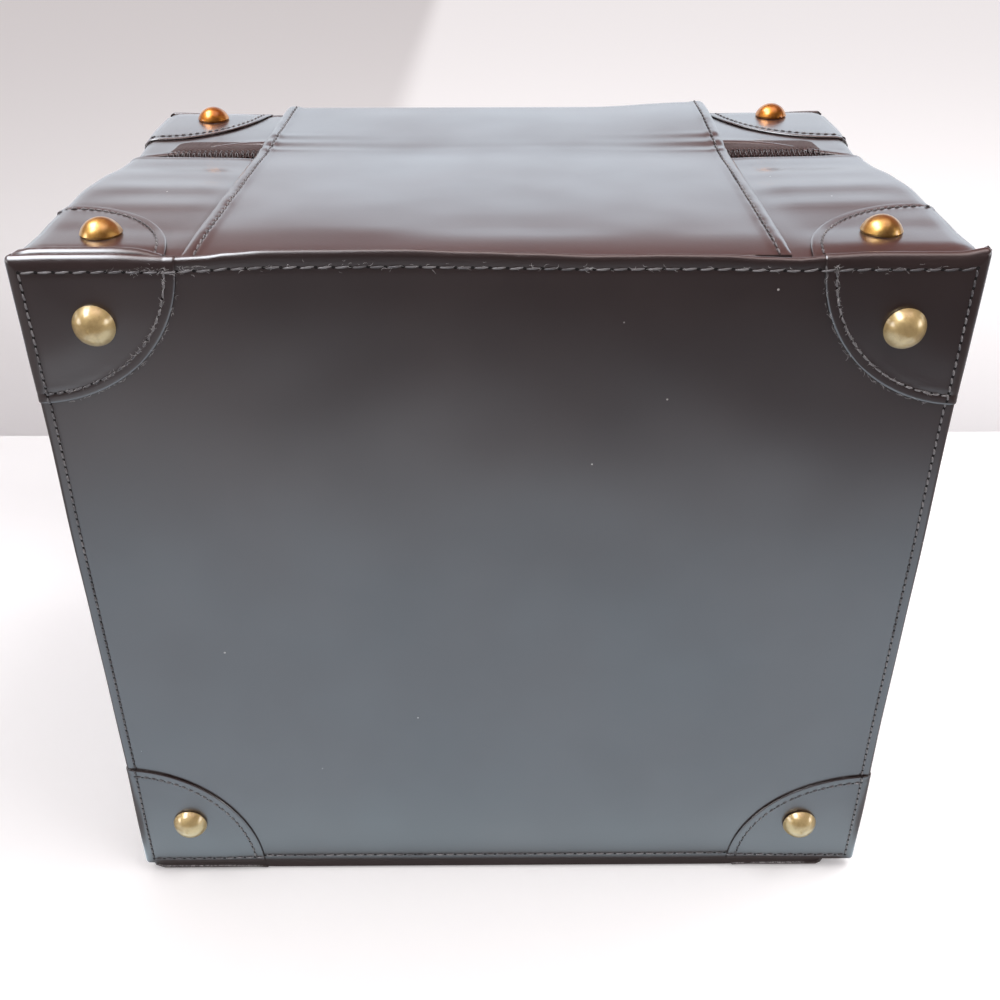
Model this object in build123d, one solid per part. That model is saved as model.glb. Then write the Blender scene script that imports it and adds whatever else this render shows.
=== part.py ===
"""Zip-round cosmetic case with patched corners, dome studs, mirror and carrying handle.

Sizes are in millimetres. X runs along the hinge, Y from the base panel to the lid panel
and Z up. The case rests on the studs of its front wall, with the hinge wall on top.
"""
import math
import os

from build123d import *

# Overall size
CASE_WIDTH = 254.0
CASE_HEIGHT = 224.0
CASE_DEPTH = 177.0
RIM = 2.0
STUD_HEIGHT = 4.8
STUD_R = 5.75
STUD_TUCK = 0.35
STUD_EDGE_H = 0.7
PATCH = 1.2
PADDING = 1.4
CORNER_R = 4.5
PANEL_CORNER_R = 1.5
RIM_ROUND = 0.7
RIM_FLANGE = 1.0

# Layers of a wall, from the outside in
SKIN = 1.2
WALL_BOARD = 1.8
CLOTH = 0.6
END_BOARD = 2.5
BOARD_OUT = SKIN
BOARD_IN = SKIN + WALL_BOARD
CLOTH_IN = BOARD_IN + CLOTH

# Zip
ZIP_Y = 25.0
LIP_GAP = 6.0
LIP_FOLD = 1.2
BODY_LIP_DROOP = 2.5
LID_LIP_DROOP = 8.0
DROOP_START_X = 85.0
DROOP_HEIGHT = 30.0
DROOP_STEPS = 4
DROOP_POWER = 2.2
COIL_HALF = 3.0
COIL_CORE = 1.2
COIL_BACK = 0.3
COIL_REACH = 0.9
COIL_OUT = 1.3
TOOTH_DEPTH = 1.5
TOOTH_THICK = 1.3
TOOTH_PITCH = 4.0
TOOTH_WIDTH = 1.3
TOOTH_CLEARANCE = 2.9
ROW_END = 1.0
TAPE_REACH = 15.0
TAPE_PAST = 2.0
ZIP_END_X = 68.0
ZIP_END_HALF_Y = 20.0
ZIP_END_DEPTH = 12.0

# Patches and studs. The studs were set by hand, so that those of the end panels and of the
# hinge wall are uneven: each pair is how far a stud lies from the side edge and from the other
# edge of its corner.
PANEL_PATCH_R = 43.0
PANEL_PATCH_INSET = 0.6
WALL_PATCH_R = 42.0
PANEL_STUDS = {"ul": (20.2, 17.1), "ur": (19.3, 18.7), "ll": (18.9, 21.4), "lr": (22.0, 19.7)}
BODY_HINGE_STUDS = ((17.0, 20.0), (20.5, 20.0))
LID_HINGE_STUDS = ((18.0, 18.0), (20.3, 14.5))
WALL_STUD = 18.5
WALL_STUD_CORNER = 18.0
SHANK_R = 1.6
SHANK_HOLE_R = 1.65
CAP_R = 4.0
CAP_SEAT_R = 4.05
CAP_T = 0.6

# Hinge panel, a little left of the middle as on the real case
HINGE_MID_X = -1.7
HINGE_HALF_X = 79.6
HEM = 5.0
HEM_T = 0.6
HINGE_LINING_SPARE = 2.0
HINGE_LINING_HALF_Y = 25.0

# Mirror
MIRROR_X = 180.0
MIRROR_Z = 150.0
MIRROR_FRAME = 8.0
MIRROR_T = 3.0
MIRROR_FRAME_R = 8.0
MIRROR_FRAME_EDGE = 0.8
MIRROR_LIP = 1.0
GLASS_UNDER = 2.0
GLASS_PLAY = 0.2
WINDOW_R = 3.0
GLASS_R = 3.8

# Handle chapes, their rivets and the rings they hold
CHAPE_X = 62.0
CHAPE_W = 20.0
CHAPE_T = 1.4
CHAPE_TOP = 26.0
CHAPE_TURN_R = 3.1
RIVET_LEVELS = (10.0, 20.0)
RIVET_R = 3.0
RIVET_TOP_R = 1.8
RIVET_H = 1.5
RIVET_SHANK_R = 1.2
RIVET_HOLE_R = 1.25
RING_Y_GAP = 4.0
RING_WIRE_R = 1.5
RING_PLAY = 0.1
RING_SPAN_X = 27.0
RING_SPAN_Z = 12.0
RING_BEND_R = 2.5

# Handle grip
GRIP_W = 14.0
GRIP_T = 8.0
GRIP_DROP = 37.0
GRIP_GAP = 0.8
GRIP_OUTER_R = 26.0
GRIP_INNER_R = 12.0
GRIP_EDGE = 2.6
GRIP_LOOP_R = 3.2

# Sliders
SLIDER_LENGTH = 11.0
SLIDER_HALF_W = 4.6
SLIDER_CORNER = 1.6
SLIDER_GAP = 1.4
SLIDER_PROUD = 0.1
SLIDER_PLATE = 1.2
SLIDER_RAIL_SHORTER = 2.0
SLIDER_RAIL_PLAY = 0.4
SLIDER_RAIL_END = 0.3
SLIDER_BACK_HALF_W = 4.2
SLIDER_BACK_T = 1.0
SLIDER_BACK_PLAY = 0.2
SLIDER_POST = (0.9, 2.0)
ARCH_HALF_Y = 1.0
ARCH_HALF_Z = 3.2
ARCH_H = 3.2
ARCH_CHAMFER = 1.4
ARCH_WIRE = 1.0

# Pulls
PULL_LENGTH = 20.0
PULL_W = 7.0
PULL_T = 1.4
PULL_END_R = 3.0
PULL_SLOT = 1.3
PULL_SLOT_END = 6.0
PULL_HOLE_R = 1.2
PULL_HOLE_UP = 4.0
PULL_PIVOT_OUT = 1.1
PULL_PIVOT_DOWN = 1.45
PULL_TILT = 20.0

# Derived levels
HALF_X = CASE_WIDTH / 2 - RIM
HALF_Z = CASE_HEIGHT / 2 - RIM
FACE_Y = CASE_DEPTH / 2
WALL_LOW = STUD_HEIGHT + PATCH
MID_Z = WALL_LOW + HALF_Z
WALL_TOP = MID_Z + HALF_Z
RIM_BACK = SKIN + RIM_FLANGE
MITRE_OUT = 40.0
MITRE_IN = 60.0
CHAPE_STACK = 2 * CHAPE_T
CORNERS = {"ul": (-1, 1), "ur": (1, 1), "ll": (-1, -1), "lr": (1, -1)}
DRILL_LENGTH = 30.0
FAR = 400.0


def slab(half_x, half_z, radius, y0, y1):
    """Rounded rectangular plate square to Y, centred on the case."""
    low = min(y0, y1)
    plane = Plane(origin=(0, low, MID_Z), x_dir=(1, 0, 0), z_dir=(0, 1, 0))
    outline = plane * RectangleRounded(2 * half_x, 2 * half_z, radius)
    return extrude(outline, amount=abs(y1 - y0))


def wall_slab(depth, y0, y1):
    """Plate with the outline of the walls at a depth below their outer face."""
    return slab(HALF_X - depth, HALF_Z - depth, CORNER_R - depth, y0, y1)


def wall_ring(outer, inner, y0, y1):
    """Tube round the case between two depths."""
    return wall_slab(outer, y0, y1) - wall_slab(inner, y0, y1)


def block(x0, x1, y0, y1, z0, z1):
    """Box between two corners given in any order."""
    size = (abs(x1 - x0), abs(y1 - y0), abs(z1 - z0))
    middle = ((x0 + x1) / 2, (y0 + y1) / 2, (z0 + z1) / 2)
    return Pos(*middle) * Box(*size)


def rod(centre, direction, radius, length):
    """Cylinder centred on a point, along a direction."""
    return Plane(origin=centre, z_dir=direction).location * Cylinder(radius, length)


def level(side, inset):
    """Y of a level that lies an inset below the outer face of one half."""
    return side * (FACE_Y - inset)


def wedge(name):
    """Prism that cuts one wall out of a ring along 45 degree mitres."""
    out_x, low, high = HALF_X + MITRE_OUT, WALL_LOW - MITRE_OUT, WALL_TOP + MITRE_OUT
    in_x, in_low, in_high = HALF_X - MITRE_IN, WALL_LOW + MITRE_IN, WALL_TOP - MITRE_IN
    ends = {
        "hinge": [(-out_x, high), (out_x, high), (in_x, in_high), (-in_x, in_high)],
        "front": [(-out_x, low), (out_x, low), (in_x, in_low), (-in_x, in_low)],
        "right": [(out_x, high), (out_x, low), (in_x, in_low), (in_x, in_high)],
        "left": [(-out_x, high), (-out_x, low), (-in_x, in_low), (-in_x, in_high)],
    }[name]
    corners = [Vector(a, -FAR / 2, b) for a, b in ends]
    face = make_face(Polyline(*corners, close=True))
    return Solid.extrude(face.face(), Vector(0, FAR, 0))


def dome_stud(shank):
    """Dome stud with its edge tucked under, standing on the origin, its shank going down."""
    rise = STUD_HEIGHT - STUD_EDGE_H
    ball = (STUD_R ** 2 + rise ** 2) / (2 * rise)
    low = STUD_HEIGHT - ball
    start = math.atan2(STUD_EDGE_H - low, STUD_R)
    middle = (start + math.pi / 2) / 2
    on_arc = (ball * math.cos(middle), 0, low + ball * math.sin(middle))
    foot = STUD_R - STUD_TUCK
    outline = [
        Line((0, 0, -shank), (SHANK_R, 0, -shank)),
        Line((SHANK_R, 0, -shank), (SHANK_R, 0, 0)),
        Line((SHANK_R, 0, 0), (foot, 0, 0)),
        ThreePointArc((foot, 0, 0), (STUD_R - STUD_TUCK / 4, 0, STUD_EDGE_H / 2),
                      (STUD_R, 0, STUD_EDGE_H)),
        ThreePointArc((STUD_R, 0, STUD_EDGE_H), on_arc, (0, 0, STUD_HEIGHT)),
        Line((0, 0, STUD_HEIGHT), (0, 0, -shank)),
    ]
    return revolve(make_face(Curve() + outline), Axis.Z)


def studs_on(places, shank):
    """Studs at a list of (point, outward direction) pairs."""
    return [Plane(origin=p, z_dir=d).location * dome_stud(shank) for p, d in places]


def drill(part, places, radius, depth=DRILL_LENGTH):
    """Holes centred on the places of studs or rivets."""
    for point, direction in places:
        part = part - rod(point, direction, radius, depth)
    return part


def cap_places(places, depth):
    """Centres of the washers that hold the shanks inside the board."""
    found = []
    for point, direction in places:
        found.append((Vector(point) - Vector(direction) * depth, direction))
    return found


def panel_studs(side):
    """Stud places on the base or lid panel."""
    y = level(side, -PATCH)
    found = []
    for name, (a, b) in CORNERS.items():
        from_side, from_end = PANEL_STUDS[name]
        x = a * (CASE_WIDTH / 2 - from_side)
        z = MID_Z + b * (CASE_HEIGHT / 2 - from_end)
        found.append(((x, y, z), (0, side, 0)))
    return found


def seat(wall):
    """Height of a patch over its wall. The front wall, which the case lies on, has no padding."""
    return PATCH if wall == "front" else PATCH + PADDING


def wall_studs(side, wall):
    """Stud places on one wall of one half."""
    y = level(side, WALL_STUD)
    dx = HALF_X - WALL_STUD_CORNER
    dz = HALF_Z - WALL_STUD_CORNER
    if wall == "hinge":
        pairs = BODY_HINGE_STUDS if side < 0 else LID_HINGE_STUDS
        return [((a * (HALF_X - from_side), level(side, from_rim), WALL_TOP + seat(wall)),
                 (0, 0, 1)) for a, (from_side, from_rim) in zip((-1, 1), pairs)]
    if wall == "front":
        return [((a * dx, y, WALL_LOW - seat(wall)), (0, 0, -1)) for a in (-1, 1)]
    x = HALF_X + seat(wall)
    sign = 1 if wall == "right" else -1
    return [((sign * x, y, MID_Z + b * dz), (sign, 0, 0)) for b in (-1, 1)]


def corner_patch(side, a, b):
    """Leather patch and its padding, wrapped round one corner of the walls next to the rim."""
    y = level(side, RIM_BACK)
    end = level(side, RIM_BACK + WALL_PATCH_R + 1)
    corner_x = a * HALF_X
    corner_z = MID_Z + b * HALF_Z
    flat = rod((corner_x, y, corner_z), (0, 0, 1), WALL_PATCH_R, FAR)
    upright = rod((corner_x, y, corner_z), (1, 0, 0), WALL_PATCH_R, FAR)
    flat_wall = "hinge" if b > 0 else "front"
    side_wall = "right" if a > 0 else "left"
    reach = 1.5 * WALL_PATCH_R
    near = block(corner_x - reach, corner_x + reach, y - reach, y + reach,
                 corner_z - reach, corner_z + reach)
    patch = wall_ring(-seat(flat_wall), 0, y, end) & wedge(flat_wall) & flat & near
    patch = patch + (wall_ring(-seat(side_wall), 0, y, end) & wedge(side_wall) & upright & near)
    for wall in (flat_wall, side_wall):
        patch = drill(patch, wall_studs(side, wall), SHANK_HOLE_R)
    return patch


def panel_patch(side, a, b):
    """Quarter-round leather patch on one corner of the base or lid panel."""
    y = level(side, 0)
    sheet = slab(CASE_WIDTH / 2 - PANEL_PATCH_INSET, CASE_HEIGHT / 2 - PANEL_PATCH_INSET,
                 PANEL_CORNER_R, y, level(side, -PATCH))
    corner = (a * CASE_WIDTH / 2, y, MID_Z + b * CASE_HEIGHT / 2)
    patch = sheet & rod(corner, (0, 1, 0), PANEL_PATCH_R, FAR)
    return drill(patch, panel_studs(side), SHANK_HOLE_R)


def lip_flap(side):
    """Leather beyond the straight lip, which closes the gap towards the hinge corners."""
    reach = BODY_LIP_DROOP if side < 0 else LID_LIP_DROOP
    edge = ZIP_Y + side * LIP_GAP
    tip = edge - side * reach
    shell = wall_ring(0, SKIN, edge, tip)
    inner_x = HALF_X - CORNER_R
    inner_z = WALL_TOP - CORNER_R
    beyond = 2 * CORNER_R
    steps = [i / DROOP_STEPS for i in range(DROOP_STEPS + 1)]
    flaps = []
    for a in (-1, 1):
        rise = []
        for share in steps:
            x = DROOP_START_X + (inner_x - DROOP_START_X) * share
            rise.append(Vector(a * x, edge + (tip - edge) * share ** DROOP_POWER, inner_z))
        rise.append(Vector(a * (inner_x + beyond), tip, inner_z))
        rise.append(Vector(a * (inner_x + beyond), edge, inner_z))
        face = make_face(Polyline(*rise, close=True))
        flaps.append(shell & Solid.extrude(face.face(), Vector(0, 0, beyond)))
        fall = []
        for share in reversed(steps):
            z = inner_z - DROOP_HEIGHT * (1 - share)
            fall.append(Vector(a * inner_x, edge + (tip - edge) * share ** DROOP_POWER, z))
        fall.append(Vector(a * inner_x, edge, inner_z))
        face = make_face(Polyline(*fall, close=True))
        flaps.append(shell & Solid.extrude(face.face(), Vector(a * beyond, 0, 0)))
    return flaps


def gusset(side):
    """Wall leather of one half, turned out under the rim and in at the zip."""
    edge = ZIP_Y + side * LIP_GAP
    tube = wall_ring(0, SKIN, level(side, SKIN), edge)
    flange = slab(CASE_WIDTH / 2, CASE_HEIGHT / 2, PANEL_CORNER_R, level(side, SKIN),
                  level(side, RIM_BACK))
    flange = flange - wall_slab(0, level(side, SKIN), level(side, RIM_BACK))
    fold = wall_ring(SKIN, BOARD_IN, edge, edge + side * LIP_FOLD)
    skin = tube + flange + fold
    for flap in lip_flap(side):
        skin = skin + flap
    for wall in ("hinge", "front", "left", "right"):
        skin = drill(skin, wall_studs(side, wall), SHANK_HOLE_R)
    return skin


def end_panel(side):
    """Base or lid panel of leather, with a rounded rim."""
    panel = slab(CASE_WIDTH / 2, CASE_HEIGHT / 2, PANEL_CORNER_R, level(side, 0),
                 level(side, SKIN))
    outer = panel.faces().sort_by(Axis.Y)[-1 if side > 0 else 0]
    panel = fillet(outer.edges(), RIM_ROUND)
    return drill(panel, panel_studs(side), SHANK_HOLE_R)


def end_board(side):
    """Stiff board behind the base or lid panel."""
    board = wall_slab(BOARD_OUT, level(side, SKIN), level(side, SKIN + END_BOARD))
    board = drill(board, panel_studs(side), SHANK_HOLE_R)
    seats = cap_places(panel_studs(side), PATCH + SKIN + END_BOARD - CAP_T / 2)
    return drill(board, seats, CAP_SEAT_R, CAP_T)


def wall_board(side, wall):
    """Stiff board of one wall, mitred at the corners."""
    start = level(side, SKIN + END_BOARD)
    stop = ZIP_Y + side * (LIP_GAP + LIP_FOLD)
    board = wall_ring(BOARD_OUT, BOARD_IN, start, stop) & wedge(wall)
    board = drill(board, wall_studs(side, wall), SHANK_HOLE_R)
    seats = cap_places(wall_studs(side, wall), seat(wall) + BOARD_IN - CAP_T / 2)
    return drill(board, seats, CAP_SEAT_R, CAP_T)


def caps(side):
    """Washers on the shanks of all studs of one half."""
    found = []
    for point, direction in cap_places(panel_studs(side), PATCH + SKIN + END_BOARD - CAP_T / 2):
        found.append(rod(point, direction, CAP_R, CAP_T))
    for wall in ("hinge", "front", "left", "right"):
        depth = seat(wall) + BOARD_IN - CAP_T / 2
        for point, direction in cap_places(wall_studs(side, wall), depth):
            found.append(rod(point, direction, CAP_R, CAP_T))
    return found


def lining(side):
    """Cloth tub that lines one half."""
    bottom = level(side, SKIN + END_BOARD)
    above = level(side, SKIN + END_BOARD + CLOTH)
    stop = ZIP_Y + side * TAPE_REACH
    return wall_slab(BOARD_IN, bottom, above) + wall_ring(BOARD_IN, CLOTH_IN, above, stop)


def hinge_gap(half_x):
    """Block that clears the zip under the hinge panel."""
    return block(-half_x, half_x, ZIP_Y - ZIP_END_HALF_Y, ZIP_Y + ZIP_END_HALF_Y,
                 WALL_TOP - ZIP_END_DEPTH, WALL_TOP + SKIN)


def zip_tape(side):
    """Woven tape of one half of the zip."""
    tape = wall_ring(BOARD_IN, CLOTH_IN, ZIP_Y + side * TAPE_REACH, ZIP_Y + side * COIL_CORE)
    return tape - hinge_gap(ZIP_END_X - TAPE_PAST)


def comb(start, stop, side, skips, plane_point, along, inward):
    """Row of teeth along one wall of the zip."""
    root = side * COIL_CORE
    tip = -side * COIL_REACH
    count = int((stop - start) // TOOTH_PITCH)
    first = start + ((stop - start) - count * TOOTH_PITCH) / 2
    shift = TOOTH_PITCH * (0.25 if side < 0 else 0.75)
    outline = [(start, root + side * COIL_BACK), (start, root)]
    for i in range(count):
        centre = first + i * TOOTH_PITCH + shift
        if any(abs(centre - skip) < TOOTH_CLEARANCE for skip in skips):
            continue
        low, high = centre - TOOTH_WIDTH / 2, centre + TOOTH_WIDTH / 2
        outline += [(low, root), (low, tip), (high, tip), (high, root)]
    outline += [(stop, root), (stop, root + side * COIL_BACK)]
    points = [plane_point + along * a + Vector(0, b, 0) for a, b in outline]
    face = make_face(Polyline(*points, close=True))
    return Solid.extrude(face.face(), inward * TOOTH_THICK)


def slider_levels():
    """Heights of the upper and the lower slider on the right wall."""
    step = SLIDER_LENGTH / 2 + SLIDER_GAP / 2
    return MID_Z + step, MID_Z - step


def zip_coil(side):
    """Toothed half of the zip."""
    ring = wall_ring(COIL_OUT, BOARD_IN, ZIP_Y + side * COIL_HALF, ZIP_Y + side * COIL_CORE)
    ring = ring - hinge_gap(ZIP_END_X)
    x_end = HALF_X - CORNER_R - ROW_END
    z_end = HALF_Z - CORNER_R - ROW_END
    east, up = Vector(1, 0, 0), Vector(0, 0, 1)
    top = Vector(0, ZIP_Y, WALL_TOP - TOOTH_DEPTH)
    foot = Vector(0, ZIP_Y, WALL_LOW + TOOTH_DEPTH)
    right = Vector(HALF_X - TOOTH_DEPTH, ZIP_Y, MID_Z)
    left = Vector(-HALF_X + TOOTH_DEPTH, ZIP_Y, MID_Z)
    skips = [z - MID_Z for z in slider_levels()]
    rows = [
        comb(-x_end, -ZIP_END_X - ROW_END, side, [], top, east, up * -1),
        comb(ZIP_END_X + ROW_END, x_end, side, [], top, east, up * -1),
        comb(-x_end, x_end, side, [], foot, east, up),
        comb(-z_end, z_end, side, skips, right, up, east * -1),
        comb(-z_end, z_end, side, [], left, up, east),
    ]
    for row in rows:
        ring = ring + row
    return ring


def hinge_panel():
    """Wide leather panel over the hinge line, with folded hems."""
    y = level(1, RIM_BACK)
    low, high = HINGE_MID_X - HINGE_HALF_X, HINGE_MID_X + HINGE_HALF_X
    sheet = block(low, high, -y, y, WALL_TOP, WALL_TOP + SKIN)
    for start in (low, high - HEM):
        sheet = sheet + block(start, start + HEM, -y, y, WALL_TOP + SKIN,
                              WALL_TOP + SKIN + HEM_T)
    return sheet


def hinge_lining():
    """Cloth strip inside that joins the two linings at the hinge."""
    top = WALL_TOP - CLOTH_IN
    half_x = HINGE_HALF_X + HINGE_LINING_SPARE
    return block(-half_x, half_x, ZIP_Y - HINGE_LINING_HALF_Y, ZIP_Y + HINGE_LINING_HALF_Y,
                 top - CLOTH, top)


def mirror():
    """Mirror glass and its frame under the lid panel."""
    y = level(1, SKIN + END_BOARD + CLOTH)
    lip = y - MIRROR_T
    rebate = lip + MIRROR_LIP
    frame = slab(MIRROR_X / 2, MIRROR_Z / 2, MIRROR_FRAME_R, lip, y)
    frame = fillet(frame.faces().sort_by(Axis.Y)[0].edges(), MIRROR_FRAME_EDGE)
    window_x = MIRROR_X / 2 - MIRROR_FRAME
    window_z = MIRROR_Z / 2 - MIRROR_FRAME
    frame = frame - slab(window_x, window_z, WINDOW_R, lip, y)
    rest = GLASS_UNDER + GLASS_PLAY
    frame = frame - slab(window_x + rest, window_z + rest, GLASS_R + GLASS_PLAY, rebate, y)
    glass = slab(window_x + GLASS_UNDER, window_z + GLASS_UNDER, GLASS_R, rebate, y)
    return frame, glass


def chape_rivet_places():
    """Rivet places on the two handle chapes."""
    y = FACE_Y + CHAPE_STACK
    return [((a * CHAPE_X, y, MID_Z + up), (0, 1, 0)) for a in (-1, 1) for up in RIVET_LEVELS]


def ring_hole(z):
    """Bore round the straight wire of both rings at a height."""
    y = FACE_Y + RING_Y_GAP
    return [rod((a * CHAPE_X, y, z), (1, 0, 0), RING_WIRE_R + RING_PLAY, 2 * CHAPE_W)
            for a in (-1, 1)]


def chapes():
    """Leather loops that hold the handle rings on the lid panel."""
    y = FACE_Y
    top = MID_Z + CHAPE_TOP
    found = []
    for a, bore in zip((-1, 1), ring_hole(MID_Z)):
        x0, x1 = a * CHAPE_X - CHAPE_W / 2, a * CHAPE_X + CHAPE_W / 2
        under = block(x0, x1, y, y + CHAPE_T, MID_Z - CHAPE_T, top)
        over = block(x0, x1, y + CHAPE_T, y + CHAPE_STACK, MID_Z + CHAPE_T, top)
        turn = rod((a * CHAPE_X, y + RING_Y_GAP, MID_Z), (1, 0, 0), CHAPE_TURN_R, CHAPE_W)
        loop = under + over + turn - bore
        found.append(drill(loop, chape_rivet_places(), RIVET_HOLE_R))
    return found


def chape_rivets():
    """Low round rivets through the chapes, panel and board."""
    found = []
    shank = CHAPE_STACK + SKIN + END_BOARD
    for point, direction in chape_rivet_places():
        plane = Plane(origin=point, z_dir=direction)
        head = Cone(RIVET_R, RIVET_TOP_R, RIVET_H,
                    align=(Align.CENTER, Align.CENTER, Align.MIN))
        stem = Cylinder(RIVET_SHANK_R, shank, align=(Align.CENTER, Align.CENTER, Align.MAX))
        found.append(plane.location * (head + stem))
    return found


def handle_rings():
    """Two rectangular wire rings, hanging in the chapes."""
    ring_y = FACE_Y + RING_Y_GAP
    found = []
    for a in (-1, 1):
        middle = (a * CHAPE_X, ring_y, MID_Z - RING_SPAN_Z / 2)
        plane = Plane(origin=middle, x_dir=(1, 0, 0), z_dir=(0, 1, 0))
        path = plane * RectangleRounded(RING_SPAN_X, RING_SPAN_Z, RING_BEND_R)
        wire = path.faces()[0].outer_wire()
        start = Plane(origin=wire @ 0, z_dir=wire % 0)
        found.append(sweep(start * Circle(RING_WIRE_R), path=wire))
    return found


def grip_outline(half_width, low, radius):
    """Rounded outline that is open above the rings, in the plane of the grip's back."""
    tall = 2 * GRIP_DROP
    origin = (0, FACE_Y + GRIP_GAP, low + tall / 2)
    plane = Plane(origin=origin, x_dir=(1, 0, 0), z_dir=(0, 1, 0))
    return plane * RectangleRounded(2 * half_width, tall, radius)


def handle():
    """Padded U-shaped grip that hangs from the rings."""
    pin_z = MID_Z - RING_SPAN_Z
    low = pin_z - GRIP_DROP
    y0 = FACE_Y + GRIP_GAP
    shape = grip_outline(CHAPE_X + GRIP_W / 2, low, GRIP_OUTER_R)
    shape = shape - grip_outline(CHAPE_X - GRIP_W / 2, low + GRIP_W, GRIP_INNER_R)
    grip = extrude(shape, amount=GRIP_T)
    grip = grip & block(-FAR, FAR, y0, y0 + GRIP_T, low - 1, pin_z)
    long_edges = [e for e in grip.edges() if e.bounding_box().size.Y < 0.01
                  and e.center().Z < pin_z - 0.5]
    grip = fillet(long_edges, GRIP_EDGE)
    for a in (-1, 1):
        pin = (a * CHAPE_X, FACE_Y + RING_Y_GAP, pin_z)
        grip = grip + rod(pin, (1, 0, 0), GRIP_LOOP_R, GRIP_W)
    for bore in ring_hole(pin_z):
        grip = grip - bore
    return grip


def slider(z):
    """Zip slider on the right wall, with the arch that carries its pull."""
    half = SLIDER_LENGTH / 2
    face = HALF_X + SLIDER_PROUD
    under = face - SLIDER_PLATE
    plate = block(under, face, ZIP_Y - SLIDER_HALF_W, ZIP_Y + SLIDER_HALF_W, z - half, z + half)
    plate = fillet(plate.edges().filter_by(Axis.X), SLIDER_CORNER)
    rail_half = half - SLIDER_RAIL_SHORTER
    for a in (-1, 1):
        rail = block(HALF_X - BOARD_IN + SLIDER_RAIL_END, under,
                     ZIP_Y + a * (COIL_HALF + SLIDER_RAIL_PLAY), ZIP_Y + a * SLIDER_HALF_W,
                     z - rail_half, z + rail_half)
        plate = plate + rail
    back = HALF_X - CLOTH_IN - SLIDER_BACK_PLAY
    lower = block(back - SLIDER_BACK_T, back, ZIP_Y - SLIDER_BACK_HALF_W,
                  ZIP_Y + SLIDER_BACK_HALF_W, z - half, z + half)
    lower = fillet(lower.edges().filter_by(Axis.X), SLIDER_CORNER)
    post_y, post_z = SLIDER_POST
    post = block(back, under, ZIP_Y - post_y, ZIP_Y + post_y, z - post_z, z + post_z)
    arch = block(face, face + ARCH_H, ZIP_Y - ARCH_HALF_Y, ZIP_Y + ARCH_HALF_Y,
                 z - ARCH_HALF_Z, z + ARCH_HALF_Z)
    high = arch.faces().sort_by(Axis.X)[-1].edges().filter_by(Axis.Y)
    arch = chamfer(high, ARCH_CHAMFER)
    arch = arch - block(face, face + ARCH_H - ARCH_WIRE, ZIP_Y - ARCH_HALF_Y,
                        ZIP_Y + ARCH_HALF_Y, z - ARCH_HALF_Z + ARCH_WIRE,
                        z + ARCH_HALF_Z - ARCH_WIRE)
    return plate + lower + post + arch


def pull(z, tilt):
    """Flat pull that hangs from the arch of a slider."""
    bar = rod((0, 0, 0), (0, 1, 0), PULL_T / 2, PULL_W)
    tongue = block(-PULL_T / 2, PULL_T / 2, -PULL_W / 2, PULL_W / 2, -PULL_LENGTH, 0)
    ends = [e for e in tongue.edges().filter_by(Axis.X) if e.center().Z < -PULL_LENGTH / 2]
    tongue = fillet(ends, PULL_END_R)
    tongue = tongue - block(-PULL_T, PULL_T, -PULL_SLOT, PULL_SLOT, -PULL_SLOT_END, PULL_T)
    tongue = tongue - rod((0, 0, PULL_HOLE_UP - PULL_LENGTH), (1, 0, 0), PULL_HOLE_R, PULL_W)
    hung = bar + tongue
    pivot = Pos(HALF_X + PULL_PIVOT_OUT, ZIP_Y, z - PULL_PIVOT_DOWN)
    return pivot * Rot(0, -tilt, 0) * hung


def save(name, shape):
    """Writes one node."""
    if isinstance(shape, (list, tuple)):
        solids = []
        for piece in shape:
            solids += list(piece.solids())
        shape = Compound(children=solids) if len(solids) > 1 else solids[0]
    export_step(shape, "parts/" + name + ".step")


os.makedirs("parts", exist_ok=True)

# Leather, boards, studs and zip of both halves
for side, half in ((-1, "body"), (1, "lid")):
    end = "base" if side < 0 else "lid_top"
    panel = end_panel(side)
    board = end_board(side)
    if side > 0:
        panel = drill(panel, chape_rivet_places(), RIVET_HOLE_R)
        board = drill(board, chape_rivet_places(), RIVET_HOLE_R)
    save(end + "_panel", panel)
    save(end + "_board", board)
    for name, (a, b) in CORNERS.items():
        save(end + "_patch_" + name, panel_patch(side, a, b))
        save(half + "_corner_" + name, corner_patch(side, a, b))
    for wall in ("hinge", "front", "left", "right"):
        save(half + "_board_" + wall, wall_board(side, wall))
    in_wall = BOARD_IN - CAP_T
    end_shank = PATCH + SKIN + END_BOARD - CAP_T
    save(end + "_studs", studs_on(panel_studs(side), end_shank))
    for wall in ("hinge", "front"):
        save(half + "_" + wall + "_studs",
             studs_on(wall_studs(side, wall), seat(wall) + in_wall))
    both = wall_studs(side, "left") + wall_studs(side, "right")
    save(half + "_side_studs", studs_on(both, seat("left") + in_wall))
    save(half + "_stud_caps", caps(side))
    save(half + "_gusset", gusset(side))
    save(half + "_lining", lining(side))
    save(half + "_zip_tape", zip_tape(side))
    save(half + "_zip_coil", zip_coil(side))

# Hinge
save("hinge_panel", hinge_panel())
save("hinge_lining", hinge_lining())

# Mirror
mirror_frame, mirror_glass = mirror()
save("mirror_frame", mirror_frame)
save("mirror_glass", mirror_glass)

# Handle
save("handle_chapes", chapes())
save("chape_rivets", chape_rivets())
save("handle_rings", handle_rings())
save("handle", handle())

# Sliders
upper, lower = slider_levels()
save("slider_upper", slider(upper))
save("slider_lower", slider(lower))
save("pull_upper", pull(upper, PULL_TILT))
save("pull_lower", pull(lower, 0))
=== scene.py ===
"""Looks of a zip-round cosmetic case in polished dark brown leather."""
import math
import random

import bmesh
import bpy
from mathutils import Matrix, Vector, noise


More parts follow.
